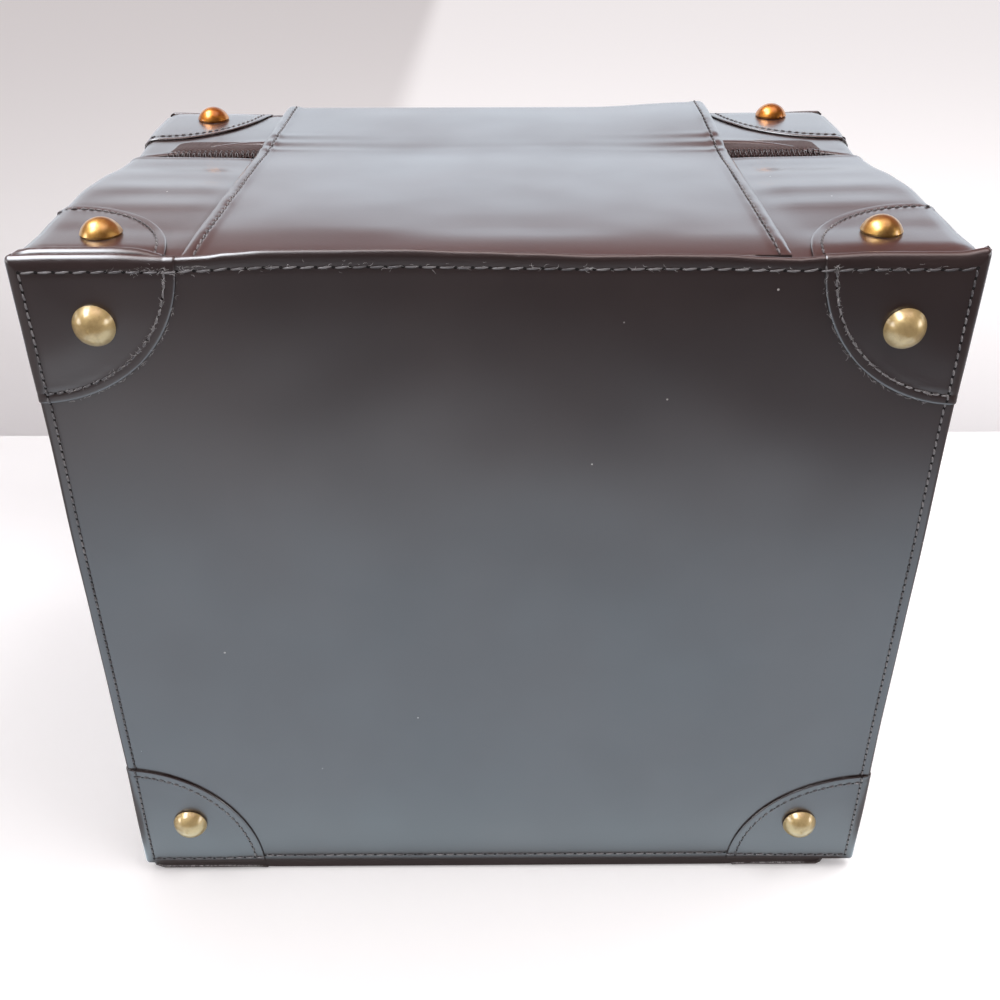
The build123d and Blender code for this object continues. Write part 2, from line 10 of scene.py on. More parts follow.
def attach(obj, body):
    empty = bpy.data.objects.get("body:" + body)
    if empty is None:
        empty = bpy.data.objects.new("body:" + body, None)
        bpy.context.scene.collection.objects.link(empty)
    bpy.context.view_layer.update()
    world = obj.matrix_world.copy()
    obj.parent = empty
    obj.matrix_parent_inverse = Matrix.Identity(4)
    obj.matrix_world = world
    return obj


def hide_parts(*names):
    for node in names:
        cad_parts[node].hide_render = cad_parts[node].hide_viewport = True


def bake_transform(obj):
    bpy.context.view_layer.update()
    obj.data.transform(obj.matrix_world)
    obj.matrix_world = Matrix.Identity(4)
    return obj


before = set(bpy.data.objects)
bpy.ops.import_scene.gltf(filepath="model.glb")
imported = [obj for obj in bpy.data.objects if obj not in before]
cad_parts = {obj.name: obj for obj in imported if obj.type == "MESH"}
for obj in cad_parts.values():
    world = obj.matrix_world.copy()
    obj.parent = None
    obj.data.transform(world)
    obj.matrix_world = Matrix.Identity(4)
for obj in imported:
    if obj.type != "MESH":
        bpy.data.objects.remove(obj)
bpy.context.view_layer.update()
MM = 0.001
bpy.context.scene.view_settings.view_transform = "Standard"

# Camera
# A short lens held a little above the case, looking down on the base panel and the hinge wall.
# Place and tilt were solved from the corners of the case.
camera_data = bpy.data.cameras.new("camera")
camera = bpy.data.objects.new("camera", camera_data)
bpy.context.collection.objects.link(camera)
camera_data.sensor_fit = "HORIZONTAL"
camera_data.sensor_width = 36.0
camera_data.lens = 40.22
camera_data.clip_start = 0.01
tilt_down, turn, lean = math.radians(31.04), math.radians(0.31), math.radians(-0.10)
look = Vector((math.sin(turn) * math.cos(tilt_down), math.cos(turn) * math.cos(tilt_down),
               -math.sin(tilt_down)))
level_right = Vector((math.cos(turn), -math.sin(turn), 0))
level_up = level_right.cross(look)
right = math.cos(lean) * level_right + math.sin(lean) * level_up
up = math.cos(lean) * level_up - math.sin(lean) * level_right
turned = Matrix((right, up, -look)).transposed().to_4x4()
camera.matrix_world = Matrix.Translation(Vector((-1.3, -366.9, 323.3)) * MM) @ turned
bpy.context.scene.camera = camera


# Floor, backdrop and light
# White card on a table, with a white card standing behind the case. The room is dim and brown,
# with a pale ceiling, a skylight at the left and a window at each side, which show in the gloss.
class Wire:
    """One output of a shader node, which takes part in sums as a number does."""

    def __init__(self, tree, socket):
        self.tree = tree
        self.socket = socket

    def sum(self, operation, first, second):
        node = self.tree.nodes.new("ShaderNodeMath")
        node.operation = operation
        for socket, value in zip(node.inputs, (first, second)):
            plug(self.tree, socket, value)
        return Wire(self.tree, node.outputs[0])

    def __add__(self, other):
        return self.sum("ADD", self, other)

    def __radd__(self, other):
        return self.sum("ADD", other, self)

    def __mul__(self, other):
        return self.sum("MULTIPLY", self, other)

    def __rmul__(self, other):
        return self.sum("MULTIPLY", other, self)

    def __gt__(self, other):
        return self.sum("GREATER_THAN", self, other)

    def __lt__(self, other):
        return self.sum("LESS_THAN", self, other)


def plug(tree, socket, value):
    """Links a wire to a socket, or sets the socket to a number or colour."""
    if isinstance(value, Wire):
        tree.links.new(value.socket, socket)
    elif isinstance(value, tuple):
        socket.default_value = (*value, 1)
    else:
        socket.default_value = value


class Finish:
    """A material in the making."""

    def __init__(self, name, tree=None):
        self.material = None
        if tree is None:
            self.material = bpy.data.materials.new(name)
            self.material.use_nodes = True
            tree = self.material.node_tree
        self.tree = tree
        # A point on the piece, in metres, or the direction of a look into the room.
        self.where = self.node("TexCoord", output=3 if self.material else 0)

    def node(self, kind, settings=None, inputs=None, output=0):
        """Adds a node, sets it up, fills its sockets and returns one of its outputs."""
        node = self.tree.nodes.new("ShaderNode" + kind)
        for key, value in (settings or {}).items():
            setattr(node, key, value)
        for key, value in (inputs or {}).items():
            plug(self.tree, node.inputs[key], value)
        return Wire(self.tree, node.outputs[output])

    def mix(self, factor, first, second):
        """Colour between two colours."""
        return self.node("Mix", {"data_type": "RGBA"}, {0: factor, 6: first, 7: second}, output=2)

    def noise(self, scale, detail=2.0, rough=0.5):
        return self.node("TexNoise", None, {"Vector": self.where, "Scale": scale,
                                            "Detail": detail, "Roughness": rough})

    def between(self, value, low, high, to_low=0.0, to_high=1.0):
        return self.node("MapRange", {"interpolation_type": "SMOOTHSTEP"},
                         {"Value": value, "From Min": low, "From Max": high,
                          "To Min": to_low, "To Max": to_high})

    def inside(self, *limits):
        """1 where each value is past its limits (value, low, high), and 0 where any is not."""
        mask = self.between(*limits[0])
        for limit in limits[1:]:
            mask = mask * self.between(*limit)
        return mask

    def bands(self, direction, scale, distortion):
        return self.node("TexWave", {"wave_type": "BANDS", "bands_direction": direction},
                         {"Vector": self.where, "Scale": scale, "Distortion": distortion})

    def parts(self):
        """The place or direction as its x, y and z."""
        node = self.tree.nodes.new("ShaderNodeSeparateXYZ")
        plug(self.tree, node.inputs[0], self.where)
        return [Wire(self.tree, socket) for socket in node.outputs]

    def coat(self, shader_inputs, normal=None):
        """Fills the shader that the material already has."""
        shader = self.tree.nodes["Principled BSDF"]
        for key, value in shader_inputs.items():
            plug(self.tree, shader.inputs[key], value)
        if normal is not None:
            plug(self.tree, shader.inputs["Normal"], normal)
        return self.material

    def bump(self, height, distance, strength):
        return self.node("Bump", None, {"Height": height, "Distance": distance,
                                        "Strength": strength})


def dress(piece, *materials):
    """Gives a piece its materials, in order of slot."""
    piece.data.materials.clear()
    for material in materials:
        piece.data.materials.append(material)


def deselect():
    bpy.ops.object.select_all(action="DESELECT")


def card_material(name, seen_glow, first, stops, shine, painted_shadows=False):
    """White card. It glows a little to the eye, and more in the gloss of what stands on it."""
    card = Finish(name)
    eye = card.node("LightPath", output=0)
    shiny = card.node("LightPath", output=3)
    x, y, z = card.parts()
    # The gloss colour is a painted reflection, set in steps along x, y or z by the stops.
    gloss = first
    for axis, low, high, glow in stops:
        gloss = card.mix(card.between((x, y, z)[axis], low, high), gloss, glow)
    dull = seen_glow
    # Painted shadows: the gloss is darkened beside the case, far out to both sides and under the
    # case, and the glow to the eye is taken away left of the case.
    if painted_shadows:
        off_middle = x * x
        beside = card.inside((off_middle, 0.0172, 0.0215), (y, -0.125, -0.105))
        gloss = card.mix(beside, gloss, (0.22, 0.205, 0.21))
        gloss = card.mix(card.between(off_middle, 0.07, 0.12), gloss, (0.16, 0.145, 0.15))
        # Painted shadow under the case, in the gloss.
        under = card.inside((off_middle, 0.0182, 0.0150), (y, -0.099, -0.092), (y, 0.12, 0.09))
        gloss = card.mix(under, gloss, (0.05, 0.035, 0.033))
        # Painted shadow on the floor left of the case: no glow to the eye there.
        left = card.inside((x, -0.10, -0.15), (y, 0.07, 0.19))
        dull = card.mix(left, dull, (0.0, 0.0, 0.0))
    paper = card.node("BsdfDiffuse", None, {"Color": (0.88, 0.87, 0.875)})
    glow = card.node("Emission", None, {"Color": gloss, "Strength": 1.0})
    mirrored = card.node("MixShader", None, {0: shiny * shine, 1: paper, 2: glow})
    lit = card.node("Emission", None, {"Color": dull, "Strength": 1.0})
    seen = card.node("AddShader", None, {0: paper, 1: lit})
    shown = card.node("MixShader", None, {0: eye, 1: mirrored, 2: seen})
    plug(card.tree, card.tree.nodes["Material Output"].inputs["Surface"], shown)
    return card.material


def lay_card(name, material, place):
    """A card whose corners are put where place(x, y) says, from a plane 1 m wide."""
    deselect()
    bpy.ops.mesh.primitive_plane_add(size=1, location=(0, 0, 0))
    card = bpy.context.object
    card.name = name
    for vertex in card.data.vertices:
        vertex.co = Vector(place(vertex.co.x, vertex.co.y))
    dress(card, material)
    return card


CARD_WIDTH, FLOOR_FRONT, FLOOR_SLANT, FLOOR_BACK = 3.2, -0.45, 0.3, 2.4
BACKDROP_Y, BACKDROP_HEIGHT = 0.25, 0.375
# The stops paint the reflection that the case shows in its gloss: on the floor brighter and bluer
# towards the case; on the backdrop brighter from the middle rightwards, dimmer low down and brown at
# the top.
floor_card = card_material("floor_card", (0.22, 0.218, 0.22), (0.93, 0.93, 0.98),
                           ((1, -0.42, -0.26, (1.03, 1.26, 1.46)),
                            (1, -0.135, -0.10, (1.3, 1.6, 1.8))), 0.85, painted_shadows=True)
backdrop_card = card_material("backdrop_card", (0.26, 0.255, 0.258), (1.14, 1.18, 1.26),
                              ((0, -0.30, -0.05, (1.42, 1.57, 1.74)),
                               (2, 0.30, 0.24, (1.02, 1.09, 1.18)),
                               (2, 0.332, 0.364, (0.33, 0.17, 0.15))), 1.0)
lay_card("floor", floor_card, lambda x, y: (
    x * CARD_WIDTH, FLOOR_FRONT + FLOOR_SLANT * x * CARD_WIDTH if y < 0 else FLOOR_BACK, 0))
backdrop = lay_card("backdrop", backdrop_card, lambda x, y: (
    x * CARD_WIDTH, BACKDROP_Y, BACKDROP_HEIGHT * (y + 0.5)))
backdrop.data.flip_normals()
# It is there for the gloss of the hinge wall, and must not hide the case from behind.
backdrop.visible_camera = False


def hang_lamp(name, size_x, size_y, energy, where, aim, colour):
    data = bpy.data.lights.new(name, "AREA")
    data.shape = "RECTANGLE"
    data.size, data.size_y = size_x, size_y
    data.energy = energy
    data.color = colour
    lamp = bpy.data.objects.new(name, data)
    bpy.context.collection.objects.link(lamp)
    lamp.location = where
    lamp.rotation_euler = (Vector(aim) - Vector(where)).to_track_quat("-Z", "Y").to_euler()
    lamp.visible_camera = False
    lamp.visible_glossy = False


def light_room():
    world = bpy.data.worlds.new("room")
    bpy.context.scene.world = world
    world.use_nodes = True
    room = Finish("room", world.node_tree)
    seen = room.node("LightPath", output=0)
    glossy = room.node("LightPath", output=3)
    aside, toward, height = room.parts()
    dim = room.mix(room.between(height, -0.1, 0.75), (0.05, 0.03, 0.03), (0.09, 0.062, 0.066))
    back = room.mix(room.between(toward, 0.0, 0.5), dim, (0.38, 0.15, 0.13))
    ceiling = room.inside((height, 0.82, 0.92), (toward, -0.42, -0.28), (toward, 0.4, 0.2))
    back = room.mix(ceiling, back, (1.9, 1.5, 1.45))
    skylight = room.inside((aside, -0.262, -0.295), (aside, -0.66, -0.58), (height, 0.62, 0.74),
                           (toward, -0.55, -0.42), (toward, 0.42, 0.3))
    back = room.mix(skylight, back, (11.0, 11.5, 12.2))
    windows = room.inside((aside * aside, 0.70, 0.80), (height, 0.05, 0.14), (height, 0.45, 0.36),
                          (toward, 0.0, -0.12), (toward, -0.62, -0.5))
    back = room.mix(windows, back, (6.0, 6.0, 6.0))
    shown = room.mix(glossy, (0.70, 0.655, 0.655), back)
    shown = room.mix(seen, shown, (1.0, 1.0, 1.0))
    background = room.tree.nodes["Background"]
    plug(room.tree, background.inputs["Color"], shown)
    background.inputs["Strength"].default_value = 1.0
    hang_lamp("overhead", 0.8, 0.5, 7.0, (0.45, -0.10, 1.10), (0, 0, 0.1), (1.0, 1.0, 1.0))
    hang_lamp("window", 0.40, 0.34, 1.4, (-0.42, -0.22, 1.0), (0, 0, 0.15), (1.0, 0.98, 0.95))
    hang_lamp("behind", 2.0, 0.13, 0.8, (0, 0.245, 0.33), (0, 0, 0.22), (0.86, 0.95, 1.1))


light_room()


# End panels
# Flat sheets of polished leather over board. The edge is turned round the rim and sewn through
# with a row of long stitches, which pulls a shallow groove beside a rounded border.
CASE_X, RIM_LOW, RIM_HIGH = 127.0, 4.0, 228.0
MID_Z = (RIM_LOW + RIM_HIGH) / 2
CASE_Z = (RIM_HIGH - RIM_LOW) / 2
FACE_Y = 88.5
PANEL_LEATHER = 0.8
LIP_FRONT, LIP_BACK, LIP_CORNER = 1.3, 0.5, 1.0
RIM_STITCH = 3.2
EDGE_STEPS = (-0.75, -0.55, -0.3, 0, 0.06, 0.18, 0.35, 0.58, 0.85, 1.1, 1.3, 1.6, 2.0, 2.4, 2.8, 3.2,
              3.6, 4.0, 4.6, 5.6, 7.0, 9.2, 12.0, 16.0)
# Rise of the near rim at the hinge, from left to right: x, and height over a straight rim.
NEAR_RIM = ((-127, 0.8), (-116, 1.05), (-101, 1.05), (-86, 0.45), (-77, 0.85), (-70, 1.75),
            (-60, 2.45), (-50, 2.5), (-25, 2.6), (-7, 2.0), (8, 1.4), (24, 0.75), (34, 0.85),
            (42, 1.05), (58, 0.9), (70, 0.1), (78, -0.25), (86, 0.4), (96, 0.8), (119, 0.8),
            (127, 1.9))


def step(value, low, high):
    """0 below low, 1 above high, and smooth between."""
    share = min(1.0, max(0.0, (value - low) / (high - low)))
    return share * share * (3 - 2 * share)


def step_straight(value, low, high):
    return min(1.0, max(0.0, (value - low) / (high - low)))


def bell(value, middle, width):
    return math.exp(-((value - middle) / width) ** 2)


def wave(x, y, z, size=70.0):
    """Smooth uneven height between about -1 and 1."""
    return noise.noise(Vector((x, y, z)) / size) * 1.6


def leather_material(name="polished_leather"):
    """Dark brown leather under a clear polish, with fine grain and a little dust."""
    hide = Finish(name)
    shade = hide.noise(18.0, 3.0)
    colour = hide.mix(hide.between(shade, 0.3, 0.7), (0.024, 0.013, 0.0125), (0.034, 0.019, 0.0175))
    cells = hide.node("TexVoronoi", {"feature": "F1"}, {"Vector": hide.where, "Scale": 150.0})
    pick = hide.node("TexVoronoi", {"feature": "F1"}, {"Vector": hide.where, "Scale": 150.0}, 1)
    lucky = hide.node("SeparateColor", None, {0: pick})
    dust = (cells < 0.05) * (lucky > 0.965)
    colour = hide.mix(dust * 0.6, colour, (0.62, 0.60, 0.58))
    smear = hide.noise(9.0, 4.0, 0.6)
    thin = hide.noise(26.0, 3.0, 0.6)
    rough = hide.between(smear, 0.3, 0.75, 0.36, 0.46) + dust * 0.4
    grain = hide.node("TexVoronoi", {"feature": "SMOOTH_F1"},
                      {"Vector": hide.where, "Scale": 1500.0, "Smoothness": 0.6})
    pores = hide.noise(700.0, 3.0)
    normal = hide.bump(grain * 0.6 + pores * 0.4, 0.00005, 0.35)
    return hide.coat({"Base Color": colour, "Roughness": rough, "IOR": 1.75,
                      "Coat Weight": hide.between(thin, 0.3, 0.7, 0.86, 1.0),
                      "Coat Roughness": 0.22, "Coat IOR": 1.65}, normal)


def sheet(name, columns, rows, place):
    """A sheet cut into squares, each corner laid where place(column, row) says."""
    deselect()
    across, along = len(columns) - 1, len(rows) - 1
    bpy.ops.mesh.primitive_grid_add(x_subdivisions=across, y_subdivisions=along, size=2)
    piece = bpy.context.object
    piece.name = name
    for vertex in piece.data.vertices:
        column = columns[round((vertex.co.x + 1) / 2 * across)]
        row = rows[round((vertex.co.y + 1) / 2 * along)]
        vertex.co = Vector(place(column, row)) * MM
    return piece


def face_outwards(piece, middle):
    """Turns the faces of an open sheet the same way, away from a point in the middle."""
    total = sum((f.center - middle).dot(f.normal) * f.area for f in piece.data.polygons)
    if total < 0:
        piece.data.flip_normals()


def thicken(piece, depth, offset, edge_slot):
    """Gives a sheet its thickness and closes its edges."""
    solid = piece.modifiers.new("thickness", "SOLIDIFY")
    solid.thickness = depth * MM
    solid.offset = offset
    solid.use_even_offset = False
    solid.material_offset_rim = edge_slot
    bpy.context.view_layer.objects.active = piece
    bpy.ops.object.modifier_apply(modifier=solid.name)


def smooth(piece, angle):
    deselect()
    piece.select_set(True)
    bpy.context.view_layer.objects.active = piece
    bpy.ops.object.shade_smooth_by_angle(angle=math.radians(angle))


def make_solid(piece, depth, angle, *materials, middle=(0, 0, MID_Z), offset=-1.0, edge_slot=0):
    """Turns an open sheet outwards and gives it materials, thickness and smooth faces."""
    face_outwards(piece, Vector(middle) * MM)
    dress(piece, *materials)
    thicken(piece, depth, offset, edge_slot)
    smooth(piece, angle)


def stand_in(piece, body, node):
    """Puts a piece on its body, in the place of a CAD node."""
    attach(piece, body)
    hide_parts(node)


def edge_places(half, steps, count):
    """Places across a sheet: at steps from both of its edges, and evenly spread between."""
    inner = half - steps[-1]
    middle = [-inner + 2 * inner * (i + 1) / (count + 1) for i in range(count)]
    low = [-half + d for d in steps]
    return low + middle + [-place for place in reversed(low)]


def panel_height(side, x, z):
    """Height of an end panel's leather over its board."""
    d = max(0.0, min(CASE_X - abs(x), CASE_Z - abs(z)))
    curl = math.sqrt(LIP_FRONT ** 2 - max(0.0, LIP_FRONT - d) ** 2) - LIP_FRONT
    border = -0.09 * bell(d, RIM_STITCH, 0.7)
    quiet = step(d, 5, 40)
    waves = 0.35 * wave(x, z, 300 * side, 85.0) + 0.12 * wave(x, z, 90 * side, 30.0)
    return curl + border + 0.1 * step(d, 5, 16) + quiet * waves


def along_points(points, place):
    """Smooth value between the listed values at listed places."""
    if place <= points[0][0]:
        return points[0][1]
    for (low, first), (high, second) in zip(points, points[1:]):
        if place < high:
            return first + (second - first) * step(place, low, high)
    return points[-1][1]


def rim_rise(side, x, z):
    """How far a rim's edges go out unevenly, and the rise of its upper edge.

    The lid's upper edge is low between its corners."""
    ripple = 0.4 * noise.noise(Vector((x / 38, z / 38, 5.0)))
    to_corner = math.hypot(CASE_X - abs(x), CASE_Z - abs(z))
    ripple *= step(to_corner, 0, 20)
    rise = along_points(NEAR_RIM, x) if side < 0 else -0.7 - 1.1 * step(CASE_X - abs(x), 2, 30)
    if side < 0:
        ripple *= 1 - 0.6 * step(z, 86, 106)
    return ripple, rise * math.exp(-max(0.0, CASE_Z - z) / 5)


def over_panel(side, x, z, lift=0.0):
    """Point on or above an end panel's leather, x and z counted from the panel's middle.

    Past the edge, the leather turns down behind the lip."""
    dx, dz = CASE_X - abs(x), CASE_Z - abs(z)
    behind = max(0.0, -dx, -dz) / LIP_BACK
    dx, dz = max(0.0, dx), max(0.0, dz)
    d = min(dx, dz)
    out_x, out_z = (1.0, 0.0) if dx < dz else (0.0, 1.0)
    if dx < LIP_CORNER and dz < LIP_CORNER:
        u, v = LIP_CORNER - dx, LIP_CORNER - dz
        length = math.hypot(u, v)
        out_x, out_z = u / length, v / length
        dx, dz = LIP_CORNER - max(u, v) * out_x, LIP_CORNER - max(u, v) * out_z
    lift *= 0.45 + 0.55 * step(d, 0, 3)
    turned = max(0.0, 1 - d / LIP_FRONT)
    upright = math.sqrt(1 - turned ** 2)
    ripple, rise = rim_rise(side, x, z)
    out = ripple * math.exp(-d / 9) + lift * turned
    height = panel_height(side, x, z) + lift * upright
    if behind:
        out += (LIP_BACK + lift) * (math.cos(behind) - 1)
        height -= (LIP_BACK + lift) * math.sin(behind)
    return Vector((math.copysign(CASE_X - dx + out * out_x, x), side * (FACE_Y + height),
                   MID_Z + math.copysign(CASE_Z - dz + out * out_z, z) + rise))


leather = leather_material()
for side, node, body, name in ((-1, "base_panel", "case_body", "base_leather"),
                               (1, "lid_top_panel", "lid", "lid_leather")):
    panel = sheet(name, edge_places(CASE_X, EDGE_STEPS, 60), edge_places(CASE_Z, EDGE_STEPS, 54),
                  lambda x, z: over_panel(side, x, z))
    make_solid(panel, PANEL_LEATHER, 60, leather)
    stand_in(panel, body, node)


# Boards
# Grey-brown pressed board stiffens both end panels and every wall. It is glued between the
# leather and the lining, and shows only if they are taken off.
def board_material():
    board = Finish("pressed_board")
    flecks = board.noise(900.0, 4.0, 0.7)
    clouds = board.noise(25.0, 3.0)
    colour = board.mix(board.between(flecks, 0.35, 0.7), (0.36, 0.30, 0.24), (0.25, 0.20, 0.155))
    colour = board.mix(clouds * 0.4, colour, (0.42, 0.36, 0.29))
    return board.coat({"Base Color": colour, "Roughness": 0.85}, board.bump(flecks, 0.0002, 0.4))


pressed_board = board_material()
for name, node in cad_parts.items():
    if "_board" in name:
        dress(node, pressed_board)


# Wall leather
# One band of polished leather goes round each half, a little puffed over its boards. It turns
# out into the rim seam, and is folded in along the zip, where the lid's lip droops at the hinge.
WALL_X, WALL_Z, WALL_ROUND = 125.0, 110.0, 4.5
ZIP_Y, BODY_LIP, LID_LIP = 25.0, 19.0, 31.0
DROOP_FROM, DROOP_RUN, DROOP_POWER = 85.0, 30.0, 2.2
WALL_LEATHER, LIP_ROUND = 0.9, 0.8
HALVES = ((-1, "body", "case_body"), (1, "lid", "lid"))
TURN = WALL_ROUND * math.pi / 2
HALF_TOP, SIDE = WALL_X - WALL_ROUND, 2 * (WALL_Z - WALL_ROUND)
LAP = 4 * HALF_TOP + 2 * SIDE + 4 * TURN
UPPER_CORNER = HALF_TOP + TURN / 2
LOWER_CORNER = UPPER_CORNER + TURN + SIDE
HINGE_MID, HINGE_HALF, HINGE_SKEW = -1.7, 79.6, 1.5
SEAM_R = 1.4
# Places across a wall's rolled seam allowance, as shares of its radius, and then behind it in mm.
SEAM_ROWS = (-1.01, -0.99, -0.95, -0.86, -0.72, -0.5, -0.25, 0.0, 0.25, 0.5, 0.72, 0.86, 0.95)
BEHIND_ROWS = (1.45, 1.8, 2.3, 3.0, 4.0, 5.2, 6.6, 8.2, 10.0, 12.0, 14.5, 17.5)
LIP_ROWS = (7.0, 4.5, 3.0, 2.2, 1.6, 1.2, 0.9, 0.68, 0.48, 0.3, 0.15, 0.04)
FOLD_ROWS = ((0.0, 0.2), (0.0, -0.5), (0.15, -1.4), (0.4, -2.4), (0.8, -2.9))


def around(s):
    """A way round the walls, from -LAP/2 to LAP/2, with 0 in the middle of the hinge wall."""
    return (s + LAP / 2) % LAP - LAP / 2


def wall_spot(s):
    """Place x, z and outward direction x, z on the outline of the walls, and how far it turned."""
    s = around(s)
    a, sign = abs(s), math.copysign(1, s)
    turn = min(max(a - HALF_TOP, 0), TURN) + min(max(a - HALF_TOP - TURN - SIDE, 0), TURN)
    turn /= WALL_ROUND
    if a < HALF_TOP:
        x, z = a, WALL_Z - WALL_ROUND
    elif a < HALF_TOP + TURN:
        x, z = HALF_TOP, WALL_Z - WALL_ROUND
    elif a < HALF_TOP + TURN + SIDE:
        x, z = HALF_TOP, WALL_Z - WALL_ROUND - (a - HALF_TOP - TURN)
    else:
        x, z = HALF_TOP - max(0, a - HALF_TOP - SIDE - 2 * TURN), WALL_ROUND - WALL_Z
    out_x, out_z = math.sin(turn), math.cos(turn)
    return (sign * (x + WALL_ROUND * out_x), z + WALL_ROUND * out_z, sign * out_x, out_z, turn)


def squared(turn, power):
    """How much further a corner reaches than a round one would: more with a higher power."""
    return (abs(math.sin(turn)) ** power + abs(math.cos(turn)) ** power) ** (-1 / power)


def strap_skew(y):
    """The hinge panel was sewn on a little askew."""
    return HINGE_SKEW * y / FACE_Y


def beside_strap(s, y):
    """How far a place on the hinge wall lies outside the hinge panel, negative under it."""
    return abs(around(s) - HINGE_MID - strap_skew(y)) - HINGE_HALF


def puff(t):
    """Rise of the leather behind the near rim at the hinge: a slope that eases into a level."""
    return 1.56 * (1 - math.exp(-max(0.0, t - 2.5) / 12))


def lip_end(side, s):
    """Distance from the end panel's face to the folded edge along the zip."""
    a = abs(around(s))
    droop = 0.0
    if DROOP_FROM < a < HALF_TOP:
        droop = ((a - DROOP_FROM) / (HALF_TOP - DROOP_FROM)) ** DROOP_POWER
    elif HALF_TOP <= a <= HALF_TOP + TURN:
        droop = 1.0
    elif HALF_TOP + TURN < a < HALF_TOP + TURN + DROOP_RUN:
        droop = ((HALF_TOP + TURN + DROOP_RUN - a) / DROOP_RUN) ** DROOP_POWER
    if side < 0:
        return FACE_Y + BODY_LIP + 2.5 * droop + 0.25 * wave(s, 0, 7, 30.0)
    drawn = 4.5 * (1 - step(a, 84, 112))
    return FACE_Y - LID_LIP + 8.0 * droop - drawn + 0.25 * wave(s, 0, 3, 30.0)


def corner_ways(s):
    """How far a place on the walls lies from the nearest corner."""
    a = abs(around(s))
    return min(abs(a - UPPER_CORNER), abs(a - LOWER_CORNER))


def seam_crest(side, s):
    """Crest of a wall's rolled seam allowance: how far behind the panel, and how high."""
    x, z, _, _, turn = wall_spot(s)
    patched = 1 - step(corner_ways(s), 32, 44)
    back, high = 3.1 + 0.5 * patched, 1.5
    if z > 90:
        high = along_points(NEAR_RIM, x) + 0.2 + 2.6 * (1 - step(x, -95, -80)) if side < 0 else 1.1
        high += (1.5 - high) * math.sin(turn) ** 2
    if z < -100 and side < 0:
        sag = step(-math.cos(turn), 0.72, 1.0) * (1 - step(x, 115, 119))
        back, high = back - (1.2 + 0.5 * patched) * sag, high + (4.4 - 0.5 * patched) * sag
    return back, (WALL_ROUND + high) * squared(turn, 7) - WALL_ROUND


def wall_height(side, s, t):
    """Height of the wall leather over its wall, a distance t from the end panel's face."""
    x, z, _, _, turn = wall_spot(s)
    a = abs(around(s))
    y = side * (FACE_Y - t)
    corner = corner_ways(s)
    to_lip = lip_end(side, s) - t
    fill = 0.7 + 0.85 * step(t, 3, 11)
    if z > 100:
        under_strap = 1 - step(a, 72, 95)
        fill += (0.7 + puff(t) - fill) * under_strap
        raised = 4.4 * bell(to_lip, 2.4, 3.8) * step(a, 60, 76) * (1 - step(a, 88, 121))
        fill += raised if side > 0 else 0.0
    elif z < -100:
        fill = 0.15 + 0.7 * step(corner, 40, 75) * step(t, 6, 20)
    else:
        fill += 0.9 * step(corner, 38, 80) * step(t, 6, 25)
    if side < 0 and z > 0:
        bulge = 1.1 * step_straight(t, 24, 46) + 1.3 * step_straight(t, 44, 78)
        fill += bulge * step(a, 74, 92) * (1 - step(a, 127, 165))
    fill *= 0.3 + 0.7 * step(to_lip, 0, 55 if side < 0 else 30)
    power = 2.4 + 1.8 * step(to_lip, 0, 55) + 3.0 * math.exp(-t / 7)
    fill = (WALL_ROUND + fill) * squared(turn, power) - WALL_ROUND
    waves = 0.25 * wave(x, y, z + 40 * side, 50.0) * step(t, 5, 20) * step(corner, 2, 20)
    bands = 0.0
    cover = 1.0
    if z > 100:
        outside = beside_strap(s, y)
        bands = 0.24 * math.sin(2 * math.pi * (y + 9 + 2 * wave(x, 0, 9, 40.0)) / 19)
        bands *= step(outside, -4, 8) * (1 - step(a, 110, 131)) * step(t, 30, 70)
        cover = 0.35 + 0.65 * step(outside, -4, -0.7)
    height = (fill + waves + bands * step(to_lip, 1, 8)) * cover + 0.3 * bell(to_lip, 1.7, 1.2)
    back, high = seam_crest(side, s)
    off = t - back
    if off < -SEAM_R:
        return 0.2
    roll = high - SEAM_R + math.sqrt(max(0.0, SEAM_R ** 2 - off ** 2))
    return roll if off < 0 else max(height, roll if off < SEAM_R else height)


def over_wall(side, s, t, lift=0.0, height=None):
    """Point on or above the wall leather."""
    x, z, out_x, out_z, _ = wall_spot(s)
    if height is None:
        height = wall_height(side, s, t)
    if lift:
        lift *= 0.45 + 0.55 * step(t, 3, 6)
        slope = (wall_height(side, s, t + 0.05) - wall_height(side, s, t - 0.05)) / 0.1
        length = math.hypot(slope, 1)
        t -= lift * slope / length
        height += lift / length
    return Vector((x + out_x * height, side * (FACE_Y - t), MID_Z + z + out_z * height))


def ways_round(gap, turn_steps=8):
    """Columns round the walls: evenly along the flats, and closer round the corners."""
    marks = [0.0, HALF_TOP, HALF_TOP + TURN, HALF_TOP + TURN + SIDE,
             HALF_TOP + 2 * TURN + SIDE, LAP / 2]
    ways = []
    for low, high in zip(marks, marks[1:]):
        count = turn_steps if high - low < 12 else round((high - low) / gap)
        ways += [low + (high - low) * i / count for i in range(count)]
    return [-way for way in reversed(ways[1:])] + ways + [LAP / 2]


def weld(piece, cap=False):
    """Joins corners of a sheet that meet, so that a band closes on itself, and caps its ends."""
    mesh = bmesh.new()
    mesh.from_mesh(piece.data)
    bmesh.ops.remove_doubles(mesh, verts=mesh.verts, dist=0.001 * MM)
    if cap:
        bmesh.ops.holes_fill(mesh, edges=[e for e in mesh.edges if e.is_boundary])
        bmesh.ops.recalc_face_normals(mesh, faces=mesh.faces)
    mesh.to_mesh(piece.data)
    mesh.free()


